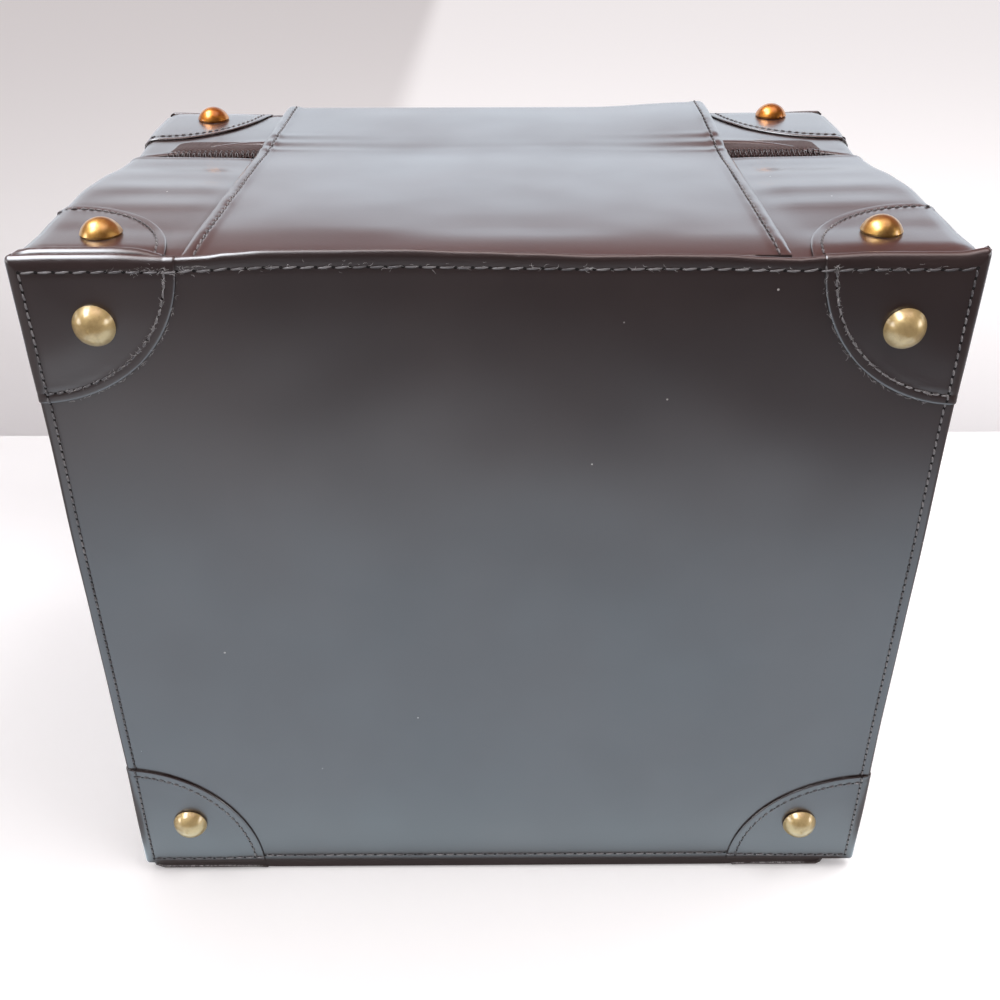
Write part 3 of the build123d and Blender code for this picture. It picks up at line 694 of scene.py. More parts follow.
for side, half, body in HALVES:
    middle_rows = 24 if side < 0 else 10

    def lay(s, row):
        end = lip_end(side, s)
        back = seam_crest(side, s)[0]
        if row < len(SEAM_ROWS):
            return over_wall(side, s, back + SEAM_R * SEAM_ROWS[row])
        row -= len(SEAM_ROWS)
        if row < len(BEHIND_ROWS):
            return over_wall(side, s, back + BEHIND_ROWS[row])
        row -= len(BEHIND_ROWS)
        start = back + BEHIND_ROWS[-1]
        if row < middle_rows:
            share = (row + 1) / (middle_rows + 1)
            return over_wall(side, s, start + (end - LIP_ROWS[0] - start) * share)
        row -= middle_rows
        if row < len(LIP_ROWS):
            back = LIP_ROWS[row]
            bend = max(0.0, LIP_ROUND - back)
            height = (wall_height(side, s, end - back) - LIP_ROUND
                      + math.sqrt(LIP_ROUND ** 2 - bend ** 2))
            return over_wall(side, s, end - back, height=height)
        back, height = FOLD_ROWS[row - len(LIP_ROWS)]
        return over_wall(side, s, end - back, height=height)

    all_rows = len(SEAM_ROWS) + len(BEHIND_ROWS) + middle_rows + len(LIP_ROWS) + len(FOLD_ROWS)
    band = sheet(half + "_wall_leather", [-LAP / 2] + ways_round(3.0), range(all_rows), lay)
    weld(band)
    make_solid(band, WALL_LEATHER, 60, leather)
    stand_in(band, body, half + "_gusset")


# Corner patches
# Quarter rounds on the end panels and half rounds wrapped about the corners of the walls. Each
# is one layer of the same leather, cut raw and sewn on beside its edge.
PANEL_PATCHES = {"ul": (43.5, 40.4), "ur": (42.5, 42.0), "ll": (42.6, 46.0), "lr": (45.6, 41.2)}
WALL_PATCHES = {"ul": 36.5, "ur": 41.8, "ll": 40.0, "lr": 40.0}
WALL_PATCH_T, PATCH_PAST = 43.0, 0.7
PATCH_STITCH, PATCH_LEATHER = 2.9, 1.0
PATCH_STEPS = (0, 0.12, 0.25, 0.4, 0.55, 0.7, 0.85, 1.0, 1.2, 1.45, 1.75, 2.1, 2.5, 2.9, 3.3, 3.8,
               4.3, 4.9, 5.6, 6.6, 8.2, 10.2, 12.5, 15, 18, 21, 24, 27, 30, 33, 35.5, 37.5, 38.9,
               39.7, 40.1, 40.5, 41.1, 41.8, 42.4, 42.75, 43)
CORNERS = {"ul": (-1, 1), "ur": (1, 1), "ll": (-1, -1), "lr": (1, -1)}
patch_shares = [place / PATCH_STEPS[-1] for place in PATCH_STEPS]
half_shares = [i * 0.04 for i in range(7)] + [0.31, 0.38, 0.45, 0.52, 0.59, 0.66, 0.73, 0.79, 0.84,
                                              0.88, 0.905, 0.925, 0.945, 0.965, 0.982, 0.993, 1.0]
both_shares = [-share for share in reversed(half_shares[1:])] + half_shares


def patch_lift(inside):
    """Height of a patch over the leather beneath, a distance inside its curved edge."""
    return (0.8 - 0.3 * max(0.0, 1 - inside / 0.35) ** 2 + 0.32 * step(inside, 4, 16)
            - 0.12 * bell(inside, PATCH_STITCH, 0.5))


def panel_patch_size(side, a_sign, b_sign):
    """Reach of a panel's patch along both edges, which differs as they were cut by hand."""
    sizes = dict(zip(CORNERS.values(), PANEL_PATCHES.values()))
    return sizes[a_sign, b_sign] if side < 0 else (43.0, 43.0)


def round_off(a, b):
    """Turns a square of shares into a quarter of a disc."""
    return a * math.sqrt(1 - b * b / 2), b * math.sqrt(1 - a * a / 2)


def raw_edge_material():
    """Cut edge of the leather, paler and fibrous."""
    raw = Finish("raw_leather_edge")
    fibres = raw.noise(1400.0, 4.0, 0.7)
    clouds = raw.noise(120.0, 2.0)
    colour = raw.mix(raw.between(fibres, 0.35, 0.7), (0.12, 0.11, 0.11), (0.60, 0.58, 0.58))
    colour = raw.mix(raw.between(clouds, 0.45, 0.6), colour, (0.07, 0.055, 0.05))
    return raw.coat({"Base Color": colour, "Roughness": 0.8}, raw.bump(fibres, 0.0002, 0.6))


def sew_on_patch(patch, body, node):
    make_solid(patch, PATCH_LEATHER, 50, leather, raw_edge, edge_slot=1)
    stand_in(patch, body, node)


def wall_patch_place(side, corner, middle, a, b, lift):
    """Point on a wall's patch: share a of its reach along the wall, and b away from the rim."""
    s = middle + WALL_PATCHES[corner] * a
    foot = seam_crest(side, s)[0] - 0.98 * SEAM_R
    return over_wall(side, s, foot + (WALL_PATCH_T + 2 - foot) * b, lift)


def patch_middle(a_sign, b_sign):
    """Way round the walls at which a corner's patch has its middle."""
    return a_sign * (UPPER_CORNER if b_sign > 0 else LOWER_CORNER)


raw_edge = raw_edge_material()
for side, half, body in HALVES:
    end = "base" if side < 0 else "lid_top"
    for corner, (a_sign, b_sign) in CORNERS.items():
        reach_x, reach_z = panel_patch_size(side, a_sign, b_sign)

        def lay(column, row):
            a, b = round_off(column, row)
            inside = (1 - math.hypot(a, b)) * (reach_x + reach_z) / 2
            return over_panel(side,
                              a_sign * (CASE_X + PATCH_PAST - (reach_x + PATCH_PAST) * a),
                              b_sign * (CASE_Z + PATCH_PAST - (reach_z + PATCH_PAST) * b),
                              patch_lift(inside))
        sew_on_patch(sheet(end + "_patch_leather_" + corner, patch_shares, patch_shares, lay),
                     body, end + "_patch_" + corner)

        def lay(column, row):
            a, b = round_off(column, row)
            return wall_patch_place(side, corner, patch_middle(a_sign, b_sign), a, b,
                                    patch_lift(WALL_PATCH_T * (1 - math.hypot(a, b))))
        sew_on_patch(sheet(half + "_corner_leather_" + corner, both_shares, patch_shares, lay),
                     body, half + "_corner_" + corner)


# Hinge panel
# A wide strap of the same leather joins both halves over the zip's opening. Its sides are folded
# under and sewn, and it is creased along the hinge line.
HEM_STITCH, HEM_PITCH, HEM_LONG = 3.2, 3.7, 169.0
STRAP_LEATHER, STRAP_OVER_SEAM = 0.95, 0.45
HEM_STEPS = (0, 0.12, 0.35, 0.7, 1.1, 1.6, 2.1, 2.5, 2.85, 3.2, 3.55, 3.9, 4.3, 4.8, 5.4, 6.3, 8.0,
             10.5, 14.0, 18.0)


def strap_point(u, y):
    """Point on the hinge panel, u counted from the middle of its width."""
    side = -1 if y < ZIP_Y else 1
    t = FACE_Y - side * y
    x = u + HINGE_MID + strap_skew(y)
    inside = HINGE_HALF - abs(u)
    crease_y = y - ZIP_Y - 1.2 * wave(x, 0, 12, 60.0)
    by_edge = math.exp(-inside / 14)
    crease = -(0.03 + 0.2 * by_edge) * bell(crease_y, 0, 2.8 - 1.2 * by_edge)
    pucker = by_edge * (0.2 * bell(crease_y, 4.6, 1.8) + 0.25 * bell(crease_y, -3.8, 1.6)
                        - 0.15 * bell(crease_y, 8.8, 2.0) + 0.2 * bell(crease_y, 13.0, 2.2))
    waves = (0.22 * wave(x, y / 1.4, 21, 45.0) + 0.08 * wave(x, y, 5, 17.0)) * step(t, 5, 20)
    hem = (0.45 + 0.1 * wave(y, u, 31, 8.0)) * (1 - step(inside, 3.4, 6.0))
    hem -= 0.65 * max(0.0, 1 - inside / 1.6) ** 2
    hem -= (0.36 + 0.1 * math.cos(2 * math.pi * y / HEM_PITCH)) * bell(inside, HEM_STITCH, 0.55)
    far = (3.4 + 1.8 * step(u, 35, 75)) * (1 - (1 - step_straight(FACE_Y - y, 2, 10)) ** 2)
    near = puff(FACE_Y + y)
    body = 0.7 + near - 0.4 * bell(y, 17, 12) + (far - near) * step(y, 10, 72)
    height = body + (crease + pucker + waves) * step(t, 10, 25) + 1.0 + hem * step(t, 3, 8)
    back, high = seam_crest(side, x)
    radius = SEAM_R + 0.5
    off = t - back
    roll = high + STRAP_OVER_SEAM - radius + math.sqrt(max(0.0, radius ** 2 - off ** 2))
    if off < 0:
        height = roll
    elif off < radius:
        height = max(height, roll)
    return Vector((x, y, MID_Z + WALL_Z + height))


STRAP_ROWS = (1.15, 1.17, 1.22, 1.3, 1.45, 1.65, 1.95, 2.3, 2.7, 3.1, 3.5, 3.9, 4.25, 4.55, 4.8, 4.95,
              5.1, 5.5, 6.2, 7.2, 8.4, 10.0, 12.0, 14.5, 17.0)
strap = sheet("hinge_strap", edge_places(HINGE_HALF, HEM_STEPS, 27),
              edge_places(FACE_Y, STRAP_ROWS, 143), strap_point)
make_solid(strap, STRAP_LEATHER, 60, leather)
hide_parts("hinge_panel")
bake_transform(strap)


# Stitching
# Thick dark thread in one long lockstitch: round both rims, along the curved edge of each patch
# and down both sides of the hinge panel. It dips into a needle hole between two stitches.
# Each needle hole is a small near-black disc laid on the leather: painted shade.
TOP_PITCH, LOW_PITCH, UPRIGHT_PITCH, PATCH_PITCH = 4.5, 3.6, 2.5, 2.7
THREAD_R = 0.31
# Angles, in degrees, at which a patch's row of stitches starts and ends short of the rim.
ARC_START, WALL_ARC_START = 4, 5


def thread_material():
    thread = Finish("waxed_thread")
    twist = thread.noise(1800.0, 2.0)
    worn = thread.noise(60.0, 3.0)
    colour = thread.mix(thread.between(worn, 0.35, 0.65), (0.08, 0.075, 0.08), (0.24, 0.23, 0.235))
    colour = thread.mix(twist * 0.5, colour, (0.05, 0.045, 0.045))
    return thread.coat({"Base Color": colour, "Roughness": 0.42, "IOR": 1.6},
                       thread.bump(twist, 0.0002, 0.5))


def plain_material(name, scale, dark, light, **shader):
    """A finish that only goes unevenly from a darker to a lighter colour."""
    plain = Finish(name)
    return plain.coat({"Base Color": plain.mix(plain.noise(scale), dark, light), **shader})


def one_stitch():
    """A stitch of length 1 lying along X: a plump grain that bends down at both ends."""
    deselect()
    bpy.ops.mesh.primitive_uv_sphere_add(segments=7, ring_count=7, radius=1)
    grain = bpy.context.object
    for vertex in grain.data.vertices:
        x, y, z = vertex.co.z, vertex.co.x, vertex.co.y
        thick = THREAD_R * (1 + 0.12 * math.sin(9 * x))
        vertex.co = Vector((x / 2, y * thick, z * thick + 0.22 - 0.42 * x * x)) * MM
    return grain


def one_hole_shade():
    # A small dark disc on the leather: the painted shade of a needle hole.
    deselect()
    bpy.ops.mesh.primitive_circle_add(vertices=8, radius=1, fill_type="TRIFAN")
    mark = bpy.context.object
    for vertex in mark.data.vertices:
        rim = vertex.co.length
        vertex.co = Vector((vertex.co.x * 0.55, vertex.co.y * 0.42, 0.10 - 0.08 * rim)) * MM
    return mark


def at(point, tangent, normal, slant=0.0):
    """Placement of a stitch: along the tangent, standing on the normal."""
    across = normal.cross(tangent).normalized()
    ahead = across.cross(normal).normalized()
    turned = Matrix((ahead, across, normal.normalized())).transposed().to_4x4()
    return Matrix.Translation(point * MM) @ turned @ Matrix.Rotation(slant, 4, "Z")


def sew(row, pitch, normal, slant):
    """Stitches and holes along row(way), from way 0 to 1, which gives a point. The normal is one
    direction, or a function of the way."""
    normal_at = normal if callable(normal) else lambda way: normal
    samples = [row(i / 60) for i in range(61)]
    length = sum((b - a).length for a, b in zip(samples, samples[1:]))
    count = max(2, round(length / pitch))
    for i in range(count + 1):
        share = i / count
        tangent = row(min(1, share + 0.002)) - row(max(0, share - 0.002))
        holes.append(at(row(share), tangent, normal_at(share)))
        if i < count:
            share += 0.5 / count
            tangent = row(share + 0.002) - row(share - 0.002)
            place = at(row(share), tangent, normal_at(share), slant + dice.uniform(-0.05, 0.05))
            stitches.append(place @ Matrix.Diagonal((0.9 * length / count, 1, 1, 1)))


def gather(name, template, placements, material):
    """One piece out of a copy of the template at each placement."""
    mesh = bmesh.new()
    for placement in placements:
        copy = template.data.copy()
        copy.transform(placement)
        mesh.from_mesh(copy)
        bpy.data.meshes.remove(copy)
    piece = bpy.data.objects.new(name, bpy.data.meshes.new(name))
    bpy.context.collection.objects.link(piece)
    mesh.to_mesh(piece.data)
    mesh.free()
    dress(piece, material)
    for face in piece.data.polygons:
        face.use_smooth = True
    return piece


def bind(prefix):
    """The thread, and the needle holes as painted shade, of what was sewn since stitches and holes
    were last empty.
    """
    return (gather(prefix + "_thread", stitch, stitches, thread),
            gather(prefix + "_needle_holes", hole_shade_mark, holes, needle_hole_shade))


def panel_top(side, x, z, lift=0.0):
    """Point on the panel, or on the patch where there is one."""
    reach_x, reach_z = panel_patch_size(side, math.copysign(1, x), math.copysign(1, z))
    share = math.hypot((CASE_X - abs(x)) / reach_x, (CASE_Z - abs(z)) / reach_z)
    if share < 1:
        lift += patch_lift((1 - share) * (reach_x + reach_z) / 2)
    return over_panel(side, x, z, lift)


thread = thread_material()
# Near-black: the painted shade inside each needle hole.
needle_hole_shade = plain_material("needle_hole_shade", 800.0, (0.004, 0.003, 0.003), (0.012, 0.009, 0.008),
                             Roughness=0.9)
dice = random.Random(7)
stitch, hole_shade_mark = one_stitch(), one_hole_shade()
rim_x, rim_z = CASE_X - RIM_STITCH, CASE_Z - RIM_STITCH
for side, half, body in HALVES:
    face = Vector((0, side, 0))
    stitches, holes = [], []
    for sign in (-1, 1):
        sew(lambda w: panel_top(side, (2 * w - 1) * rim_x, sign * rim_z),
            TOP_PITCH if sign > 0 else LOW_PITCH, face, 0.10)
        sew(lambda w: panel_top(side, sign * rim_x, (2 * w - 1) * rim_z), UPRIGHT_PITCH, face, 0.14)
    rim_count = len(stitches)
    for corner, (a_sign, b_sign) in CORNERS.items():
        reach_x, reach_z = panel_patch_size(side, a_sign, b_sign)

        def arc(w):
            turn = math.radians(ARC_START + (90 - 2 * ARC_START) * w)
            return panel_top(side,
                             a_sign * (CASE_X - (reach_x - PATCH_STITCH) * math.cos(turn)),
                             b_sign * (CASE_Z - (reach_z - PATCH_STITCH) * math.sin(turn)))
        sew(arc, PATCH_PITCH, face, 0.12)

        def wall_arc(w, lift=0.0):
            turn = math.radians(WALL_ARC_START + (180 - 2 * WALL_ARC_START) * w)
            share = 1 - PATCH_STITCH / WALL_PATCH_T
            return wall_patch_place(side, corner, patch_middle(a_sign, b_sign),
                                    share * math.cos(turn), share * math.sin(turn),
                                    patch_lift(PATCH_STITCH) + lift)
        sew(wall_arc, PATCH_PITCH, lambda w: wall_arc(w, 1.0) - wall_arc(w), 0.12)
    pieces = [gather(half + "_rim_thread", stitch, stitches[:rim_count], thread),
              gather(half + "_patch_thread", stitch, stitches[rim_count:], thread),
              gather(half + "_needle_holes", hole_shade_mark, holes, needle_hole_shade)]
    for piece in pieces:
        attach(piece, body)

stitches, holes = [], []
for sign in (-1, 1):
    hem = sign * (HINGE_HALF - HEM_STITCH)
    sew(lambda w: strap_point(hem, HEM_LONG * (w - 0.5)), HEM_PITCH, Vector((0, 0, 1)), 0.1)
for piece in bind("hinge"):
    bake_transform(piece)


# Frayed fibres
# Short pale fibres stand out of the worn thread on the base, and out of the raw edges of its two
# upper patches.
def one_fibre():
    """A hair of length 1 along X, bent in a bow."""
    deselect()
    bpy.ops.mesh.primitive_uv_sphere_add(segments=4, ring_count=6, radius=1)
    hair = bpy.context.object
    for vertex in hair.data.vertices:
        x, y, z = vertex.co.z, vertex.co.x, vertex.co.y
        vertex.co = Vector((x / 2, y * 0.03 + 0.25 * x * x, z * 0.03 + 0.1 * x)) * MM
    return hair


def fray(x, z, heading=0.0):
    """One fibre that stands out of the base at x, z from the panel's middle, near a heading."""
    point = panel_top(-1, x, z, 0.3)
    turn = heading + dice.gauss(0, 0.55)
    along = Vector((math.cos(turn), 0, math.sin(turn)))
    size = (dice.uniform(0.5, 2.0), dice.choice((-1, 1)) * dice.uniform(0.6, 1.6), 1, 1)
    fibres.append(at(point, along, Vector((0, -1, 0))) @ Matrix.Diagonal(size))


fibres = []
for i in range(70):
    fray(dice.gauss(-86, 7), rim_z + dice.gauss(0.2, 0.6))
for i in range(110):
    fray(dice.uniform(-78, 118), rim_z + dice.gauss(0.2, 0.5))
for corner in ("ul", "ur"):
    a_sign, b_sign = CORNERS[corner]
    reach_x, reach_z = panel_patch_size(-1, a_sign, b_sign)
    for i in range(170):
        turn = math.radians(dice.uniform(3, 80))
        inside = dice.choice((-0.1, PATCH_STITCH, PATCH_STITCH)) + dice.gauss(0, 0.22)
        fray(a_sign * (CASE_X - (reach_x - inside) * math.cos(turn)),
             b_sign * (CASE_Z - (reach_z - inside) * math.sin(turn)),
             math.atan2(-b_sign * math.cos(turn), a_sign * math.sin(turn)))
hair = one_fibre()
frayed_fibre = plain_material("frayed_fibre", 500.0, (0.30, 0.29, 0.29), (0.72, 0.70, 0.70),
                              Roughness=0.6)
fluff = gather("frayed_fibres", hair, fibres, frayed_fibre)
bpy.data.objects.remove(hair)
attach(fluff, "case_body")


# Zip
# Two woven tapes, each with a coil of stiff thread sewn along its edge. The loops of one coil
# catch between those of the other. The zip goes round all walls but the middle of the hinge wall.
ZIP_START = 68.0
COIL_PITCH, COIL_WIRE = 1.85, 0.33
COIL_DEPTH, TAPE_DEPTH, TAPE_THICK = 2.15, 3.0, 0.6
COIL_MIDDLE, COIL_REACH, COIL_THICK, COIL_CORNERS = 1.2, 1.65, 0.52, 8
TAPE_ROWS = (1.2, 2.0, 3.2, 5.0, 8.0, 11.5, 15.0)


def tape_material():
    """Twill tape: fine ribs across, crossed by slanted ones."""
    tape = Finish("zip_tape")
    weave = (tape.bands("Y", 260.0, 0.6) * 0.5
             + tape.bands("DIAGONAL", 420.0, 0.4) * 0.5)
    clouds = tape.noise(80.0, 3.0)
    colour = tape.mix(weave, (0.028, 0.016, 0.015), (0.085, 0.048, 0.044))
    colour = tape.mix(clouds * 0.4, colour, (0.04, 0.023, 0.021))
    return tape.coat({"Base Color": colour, "Roughness": 0.8, "Sheen Weight": 0.1},
                     tape.bump(weave, 0.0003, 0.7))


def under_wall(s, y, depth):
    x, z, out_x, out_z, _ = wall_spot(s)
    return Vector((x - out_x * depth, y, MID_Z + z - out_z * depth))


def zip_depth(s, off, side=0):
    """Depth of tape or coil, off from the zip's middle. At the hinge, the lid's half rides up."""
    a = abs(around(s))
    tilted = 1 - step(a, 108, HALF_TOP + TURN)
    open_here = step(a, 74, 83)
    if side > 0:
        return TAPE_DEPTH - tilted * (2.0 + (1.2 + 1.4 * open_here) * step_straight(off, 1.2, 5.0))
    if side < 0:
        return TAPE_DEPTH - tilted * 1.3 * math.exp(-(off - 1.2) / 3)
    return COIL_DEPTH - tilted * (1.9 + (0.2 + 0.34 * open_here) * off)


zip_coil = plain_material("zip_coil", 300.0, (0.02, 0.010, 0.010), (0.045, 0.026, 0.025),
                          Roughness=0.16, IOR=1.5)
zip_tape = tape_material()
zip_ways = [ZIP_START - 2 + (LAP - 2 * ZIP_START + 4) * i / 300 for i in range(301)]
for side, half, body in HALVES:
    tape = sheet(half + "_tape", zip_ways, TAPE_ROWS,
                 lambda s, off: under_wall(s, ZIP_Y + side * off, zip_depth(s, off, side)))
    make_solid(tape, TAPE_THICK, 60, zip_tape)
    stand_in(tape, body, half + "_zip_tape")

    turns = int((LAP - 2 * ZIP_START) / COIL_PITCH)
    curve = bpy.data.curves.new(half + "_coil", "CURVE")
    curve.dimensions = "3D"
    curve.bevel_depth = COIL_WIRE * MM
    curve.bevel_resolution = 1
    spline = curve.splines.new("POLY")
    count = turns * COIL_CORNERS
    spline.points.add(count - 1)
    for i in range(count):
        turn = 2 * math.pi * i / COIL_CORNERS + (math.pi if side > 0 else 0)
        s = ZIP_START + COIL_PITCH * i / COIL_CORNERS
        y = ZIP_Y + side * (COIL_MIDDLE + COIL_REACH * math.cos(turn))
        point = under_wall(s, y, zip_depth(s, y - ZIP_Y) - COIL_THICK * math.sin(turn)) * MM
        spline.points[i].co = (*point, 1)
    coil = bpy.data.objects.new(half + "_coil", curve)
    bpy.context.collection.objects.link(coil)
    deselect()
    coil.select_set(True)
    bpy.context.view_layer.objects.active = coil
    bpy.ops.object.convert(target="MESH")
    coil = bpy.context.object
    dress(coil, zip_coil)
    for face in coil.data.polygons:
        face.use_smooth = True
    stand_in(coil, body, half + "_zip_coil")


# Studs
# Domes of antique brass, browned in the hollows of their patina and rubbed bright on top. Their
# shanks go through leather and board, and are closed over steel washers.
def brass_material(name, bright, dark, rough=0.24, polish=0.0, metal=1.0):
    brass = Finish(name)
    blotch = brass.noise(260.0, 4.0, 0.6)
    fine = brass.noise(1500.0, 3.0, 0.7)
    stain = brass.between(blotch, 0.42, 0.62, 0.0, 0.7)
    colour = brass.mix(stain, bright, dark)
    colour = brass.mix(brass.between(fine, 0.55, 0.75, 0.0, 0.3), colour, (0.30, 0.17, 0.06))
    roughness = brass.between(blotch, 0.35, 0.7, rough, rough + 0.16)
    return brass.coat({"Base Color": colour, "Metallic": metal, "Roughness": roughness,
                       "Coat Weight": polish, "Coat Roughness": 0.12, "Coat IOR": 1.7},
                      brass.bump(fine * 0.4 + blotch * 0.6, 0.0001, 0.25))


def steel_material():
    steel = Finish("washer_steel")
    scuffs = steel.noise(900.0, 4.0, 0.7)
    colour = steel.mix(scuffs, (0.42, 0.42, 0.43), (0.66, 0.65, 0.64))
    return steel.coat({"Base Color": colour, "Metallic": 1.0,
                       "Roughness": steel.between(scuffs, 0.3, 0.7, 0.28, 0.5)},
                      steel.bump(scuffs, 0.00008, 0.3))


# One stud brass in three copies that differ to stand in for reflections: the base panel's studs half
# diffuse, so their middles stay light; the hinge wall's warmer, and the lid's hinge studs the most
# orange. This is painted reflection.
stud_brass = brass_material("stud_brass", (0.60, 0.44, 0.20), (0.46, 0.32, 0.13), 0.42, 0.8,
                             metal=0.55)
hinge_brass_warm_reflection = brass_material("hinge_brass_warm_reflection", (0.58, 0.34, 0.10), (0.42, 0.20, 0.04), 0.36, 0.5)
lid_hinge_brass_warm_reflection = brass_material("lid_hinge_brass_warm_reflection", (0.56, 0.22, 0.035), (0.38, 0.11, 0.015), 0.36, 0.5)
washer_steel = steel_material()
for name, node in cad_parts.items():
    if name.endswith("_hinge_studs"):
        dress(node, hinge_brass_warm_reflection if name.startswith("body") else lid_hinge_brass_warm_reflection)
    elif name.endswith("_studs"):
        dress(node, stud_brass)
    elif name.endswith("_stud_caps"):
        dress(node, washer_steel)


# Lining
# Brown woven cloth glued inside both halves, over board and stud backs, with a separate strip
# across the hinge. It is a little loose over the walls.
LINING_CLOTH, STRIP_CLOTH = 0.6, 0.55
LINING_OUT, FLOOR_T, WALL_ROWS = 3.0, 3.7, 14
FLOOR_RINGS = (1.0, 0.975, 0.94, 0.88, 0.8, 0.7, 0.58, 0.45, 0.3, 0.15, 0.0)
STRIP_HALF, STRIP_LONG = 81.6, 50.0


def cloth_material():
    """Plain weave: threads that go over and under each other in both directions."""
    cloth = Finish("lining_cloth")
    warp, weft, rise = (cloth.bands(way, 330.0, 0.3) for way in "XZY")
    weave = (warp + weft + rise) * 0.33
    slub = cloth.noise(140.0, 3.0, 0.6)
    colour = cloth.mix(weave, (0.12, 0.08, 0.062), (0.27, 0.195, 0.155))
    colour = cloth.mix(cloth.between(slub, 0.4, 0.7, 0.0, 0.45), colour, (0.17, 0.115, 0.09))
    return cloth.coat({"Base Color": colour, "Roughness": 0.75, "Sheen Weight": 0.35},
                      cloth.bump(weave, 0.0003, 0.6))


lining_cloth = cloth_material()
for side, half, body in HALVES:
    mouth = FACE_Y - side * (ZIP_Y + side * 15)

    def lay(s, row):
        if row < WALL_ROWS:
            t = mouth + (FLOOR_T - mouth) * row / WALL_ROWS
            loose = step(min(row, WALL_ROWS - row), 0, 2.5)
            inwards = max(0.0, 0.5 * wave(s, t, 50 * side, 35.0)) * loose
            return under_wall(s, side * (FACE_Y - t), LINING_OUT + inwards)
        edge = under_wall(s, side * (FACE_Y - FLOOR_T), LINING_OUT)
        share = FLOOR_RINGS[row - WALL_ROWS]
        return Vector((edge.x * share, edge.y, MID_Z + (edge.z - MID_Z) * share))

    tub = sheet(half + "_cloth", [-LAP / 2] + ways_round(5.0, 6),
                range(WALL_ROWS + len(FLOOR_RINGS)), lay)
    weld(tub)
    make_solid(tub, LINING_CLOTH, 35, lining_cloth)
    stand_in(tub, body, half + "_lining")


def lay(column, row):
    x, y = STRIP_HALF * (column / 24 - 1), STRIP_LONG * row / 30
    sag = 0.25 * bell(y, ZIP_Y, 9) + 0.12 * wave(x, y, 3, 22.0)
    return Vector((x, y, MID_Z + WALL_Z - 3.6 - max(0.0, sag)))


strip = sheet("hinge_cloth", range(49), range(31), lay)
make_solid(strip, STRIP_CLOTH, 40, lining_cloth)
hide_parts("hinge_lining")
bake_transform(strip)


# Mirror
# Silvered glass in a dark satin frame. The frame is glued to the lining under the lid panel, and
# holds the glass behind a narrow lip.
def mirror_materials():
    edge = Finish("mirror_frame_satin")
    colour = edge.mix(edge.noise(30.0, 3.0), (0.04, 0.028, 0.026), (0.062, 0.044, 0.04))
    satin = edge.coat({"Base Color": colour, "Roughness": 0.34, "Coat Weight": 0.3,
                       "Coat Roughness": 0.2},
                      edge.bump(edge.noise(1600.0, 3.0), 0.0001, 0.3))
    silver = Finish("mirror_silver")
    smudge = silver.noise(22.0, 4.0, 0.65)
    bright = silver.mix(smudge, (0.90, 0.91, 0.92), (0.86, 0.88, 0.89))
    glass = silver.coat({"Base Color": bright, "Metallic": 1.0,
                         "Roughness": silver.between(smudge, 0.5, 0.8, 0.015, 0.07)})
    return satin, glass


satin, silvered = mirror_materials()
dress(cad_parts["mirror_frame"], satin)
dress(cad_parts["mirror_glass"], silvered)


# Handle
# A padded leather grip on two brass wire rings. Leather loops hold the rings, and are riveted
# through the lid panel. Both are sewn along their edges.
RING_Y, RING_Z, PIN_Z = 92.5, 116.0, 104.0
RING_X, GRIP_EDGE, GRIP_PITCH = 62.0, 5.9, 3.4
LOOP_LEATHER, LOOP_HALF, LOOP_R = 1.4, 6.8, 3.15
CHAPE_LEATHER, CHAPE_EDGE, CHAPE_TOP, CHAPE_PITCH = 1.3, 7.8, 91.25, 3.3
GRIP_Y, GRIP_LOW, GRIP_BEND, GRIP_SHORT = 93.3, 74.0, 19.0, 4.0
CHAPE_HALF = 10.0
# Half of the grip's section, from one sewn edge over the padding to the other.
GRIP_TOP = ((7.0, 0.0), (6.9, 0.7), (6.5, 1.2), (5.9, 1.3), (5.4, 1.25), (4.9, 1.6), (4.3, 2.4),
            (3.4, 3.25), (2.2, 3.8), (0.8, 4.0))


def grip_line(way):
    """Middle of the grip x, z and its outward direction, at a way from 0 to 1."""
    top = PIN_Z - GRIP_SHORT
    upright, bend = top - (GRIP_LOW + GRIP_BEND), GRIP_BEND * math.pi / 2
    level = RING_X - GRIP_BEND
    sign = -1 if way < 0.5 else 1
    run = min(way, 1 - way) * 2 * (upright + bend + level)
    if run < upright:
        return sign * RING_X, top - run, sign, 0.0
    if run < upright + bend:
        turn = (run - upright) / GRIP_BEND
        out_x, out_z = math.cos(turn), -math.sin(turn)
        return (sign * (level + GRIP_BEND * out_x), GRIP_LOW + GRIP_BEND + GRIP_BEND * out_z,
                sign * out_x, out_z)
    return sign * (level - (run - upright - bend)), GRIP_LOW, 0.0, -1.0


def grip_section():
    top = list(GRIP_TOP) + [(-w, h) for w, h in reversed(GRIP_TOP)]
    under = [(-w, -h) for w, h in top[1:-1]]
    return top + under + [top[0]]


def grip_point(way, wide, high):
    x, z, out_x, out_z = grip_line(way)
    share = min(way, 1 - way)
    pad = step(share, 0.0, 0.07)
    high = high * (0.36 + 0.64 * pad)
    drop = -0.6 * (1 - pad)
    crease = 1 + 0.015 * wave(way * 200, wide, 4, 12.0)
    return Vector((x + out_x * wide, GRIP_Y + drop + high * crease, z + out_z * wide))


handle_hide = leather_material("handle_leather")
grip = sheet("handle_grip_leather", [i / 110 for i in range(111)], grip_section(),
             lambda way, corner: grip_point(way, *corner))
weld(grip, cap=True)
smooth(grip, 50)
dress(grip, handle_hide)
stand_in(grip, "handle_grip", "handle")

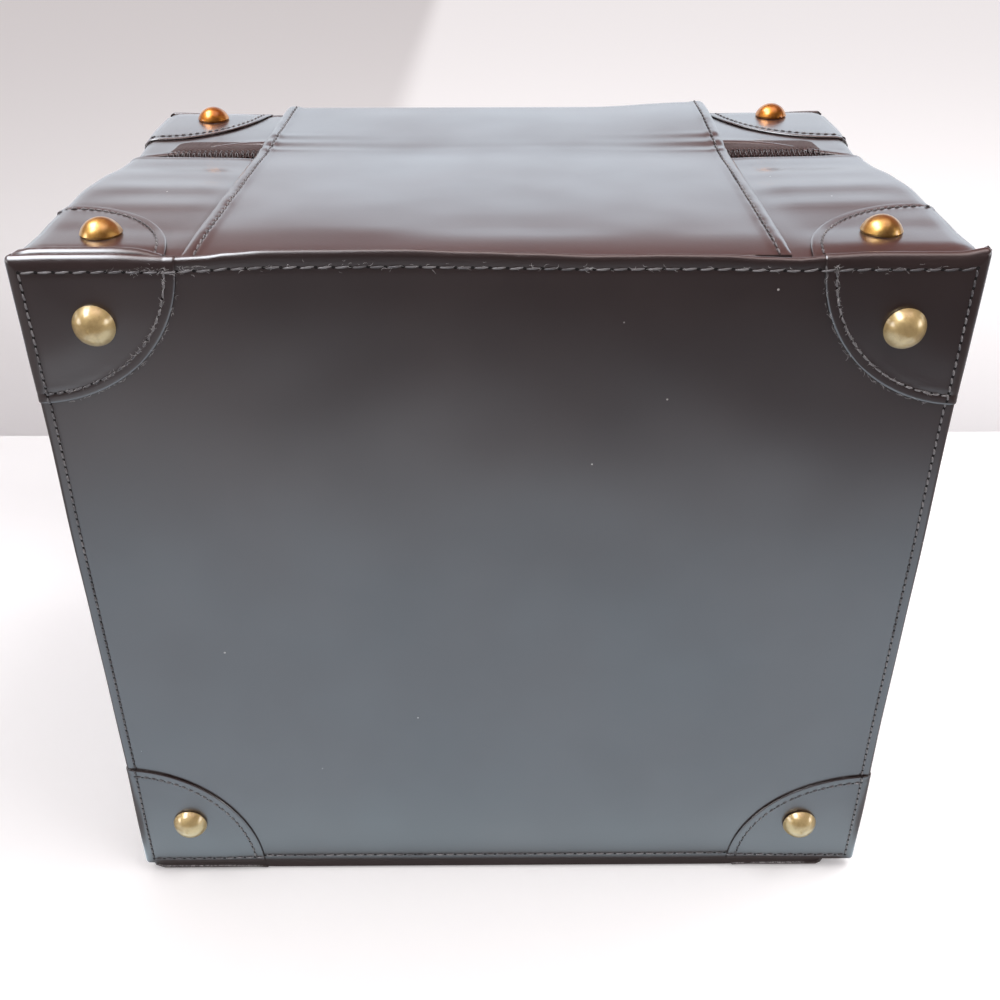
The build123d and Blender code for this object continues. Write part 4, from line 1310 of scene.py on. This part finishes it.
for sign, name in ((-1, "left"), (1, "right")):
    def lay(column, row):
        turn = 2 * math.pi * column / 28
        x = sign * RING_X + LOOP_HALF * (row / 4 - 1)
        radius = LOOP_R - 0.35 * abs(row / 4 - 1) ** 6
        return Vector((x, RING_Y + radius * math.cos(turn), PIN_Z + radius * math.sin(turn)))
    loop = sheet("grip_loop_" + name, range(29), range(9), lay)
    weld(loop)
    make_solid(loop, LOOP_LEATHER, 45, handle_hide, middle=(sign * RING_X, RING_Y, PIN_Z))
    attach(loop, "handle_grip")

stitches, holes = [], []
for sign in (-1, 1):
    for face in (1, -1):
        sew(lambda w: grip_point(0.03 + 0.94 * w, sign * GRIP_EDGE, 1.3 * face), GRIP_PITCH,
            Vector((0, face, 0)), 0.1)
for piece in bind("grip"):
    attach(piece, "handle_grip")

CHAPE_LINE = [(89.2, 142.0), (89.2, 136.0), (89.2, 128.0), (89.2, 122.5), (89.3, 119.8),
              (89.75, 118.0)]
for degrees in range(190, 440, 15):
    turn = math.radians(degrees)
    CHAPE_LINE.append((RING_Y + 2.35 * math.cos(turn), RING_Z + 2.35 * math.sin(turn)))
CHAPE_LINE += [(91.9, 119.2), (91.0, 121.0), (90.62, 123.5), (90.6, 130.0), (90.6, 136.0),
               (90.6, 142.0)]
stitches, holes = [], []
for sign, name in ((-1, "left"), (1, "right")):
    chape = sheet("handle_chape_" + name, range(11), CHAPE_LINE,
                  lambda column, corner: Vector((sign * RING_X - CHAPE_HALF + 2 * column,
                                                 *corner)))
    make_solid(chape, CHAPE_LEATHER, 40, handle_hide, offset=0.0)
    stand_in(chape, "lid", "handle_chapes")
    for way in (-1, 1):
        sew(lambda w: Vector((sign * RING_X + way * CHAPE_EDGE, CHAPE_TOP, 123 + 16.5 * w)),
            CHAPE_PITCH, Vector((0, 1, 0)), 0.1)
for piece in bind("chape"):
    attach(piece, "lid")
for template in (stitch, hole_shade_mark):
    bpy.data.objects.remove(template)

ring_brass = brass_material("ring_brass", (0.60, 0.42, 0.18), (0.40, 0.25, 0.09), 0.2)
dress(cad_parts["handle_rings"], ring_brass)
dress(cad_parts["chape_rivets"], ring_brass)


# Sliders
# Cast brass sliders, head to head on the right wall, which run on the two coils. A flat pull swings
# on the arch of each.
zip_brass = brass_material("zip_brass", (0.58, 0.41, 0.18), (0.38, 0.25, 0.10), 0.26)
for name in ("slider_upper", "slider_lower", "pull_upper", "pull_lower"):
    dress(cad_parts[name], zip_brass)
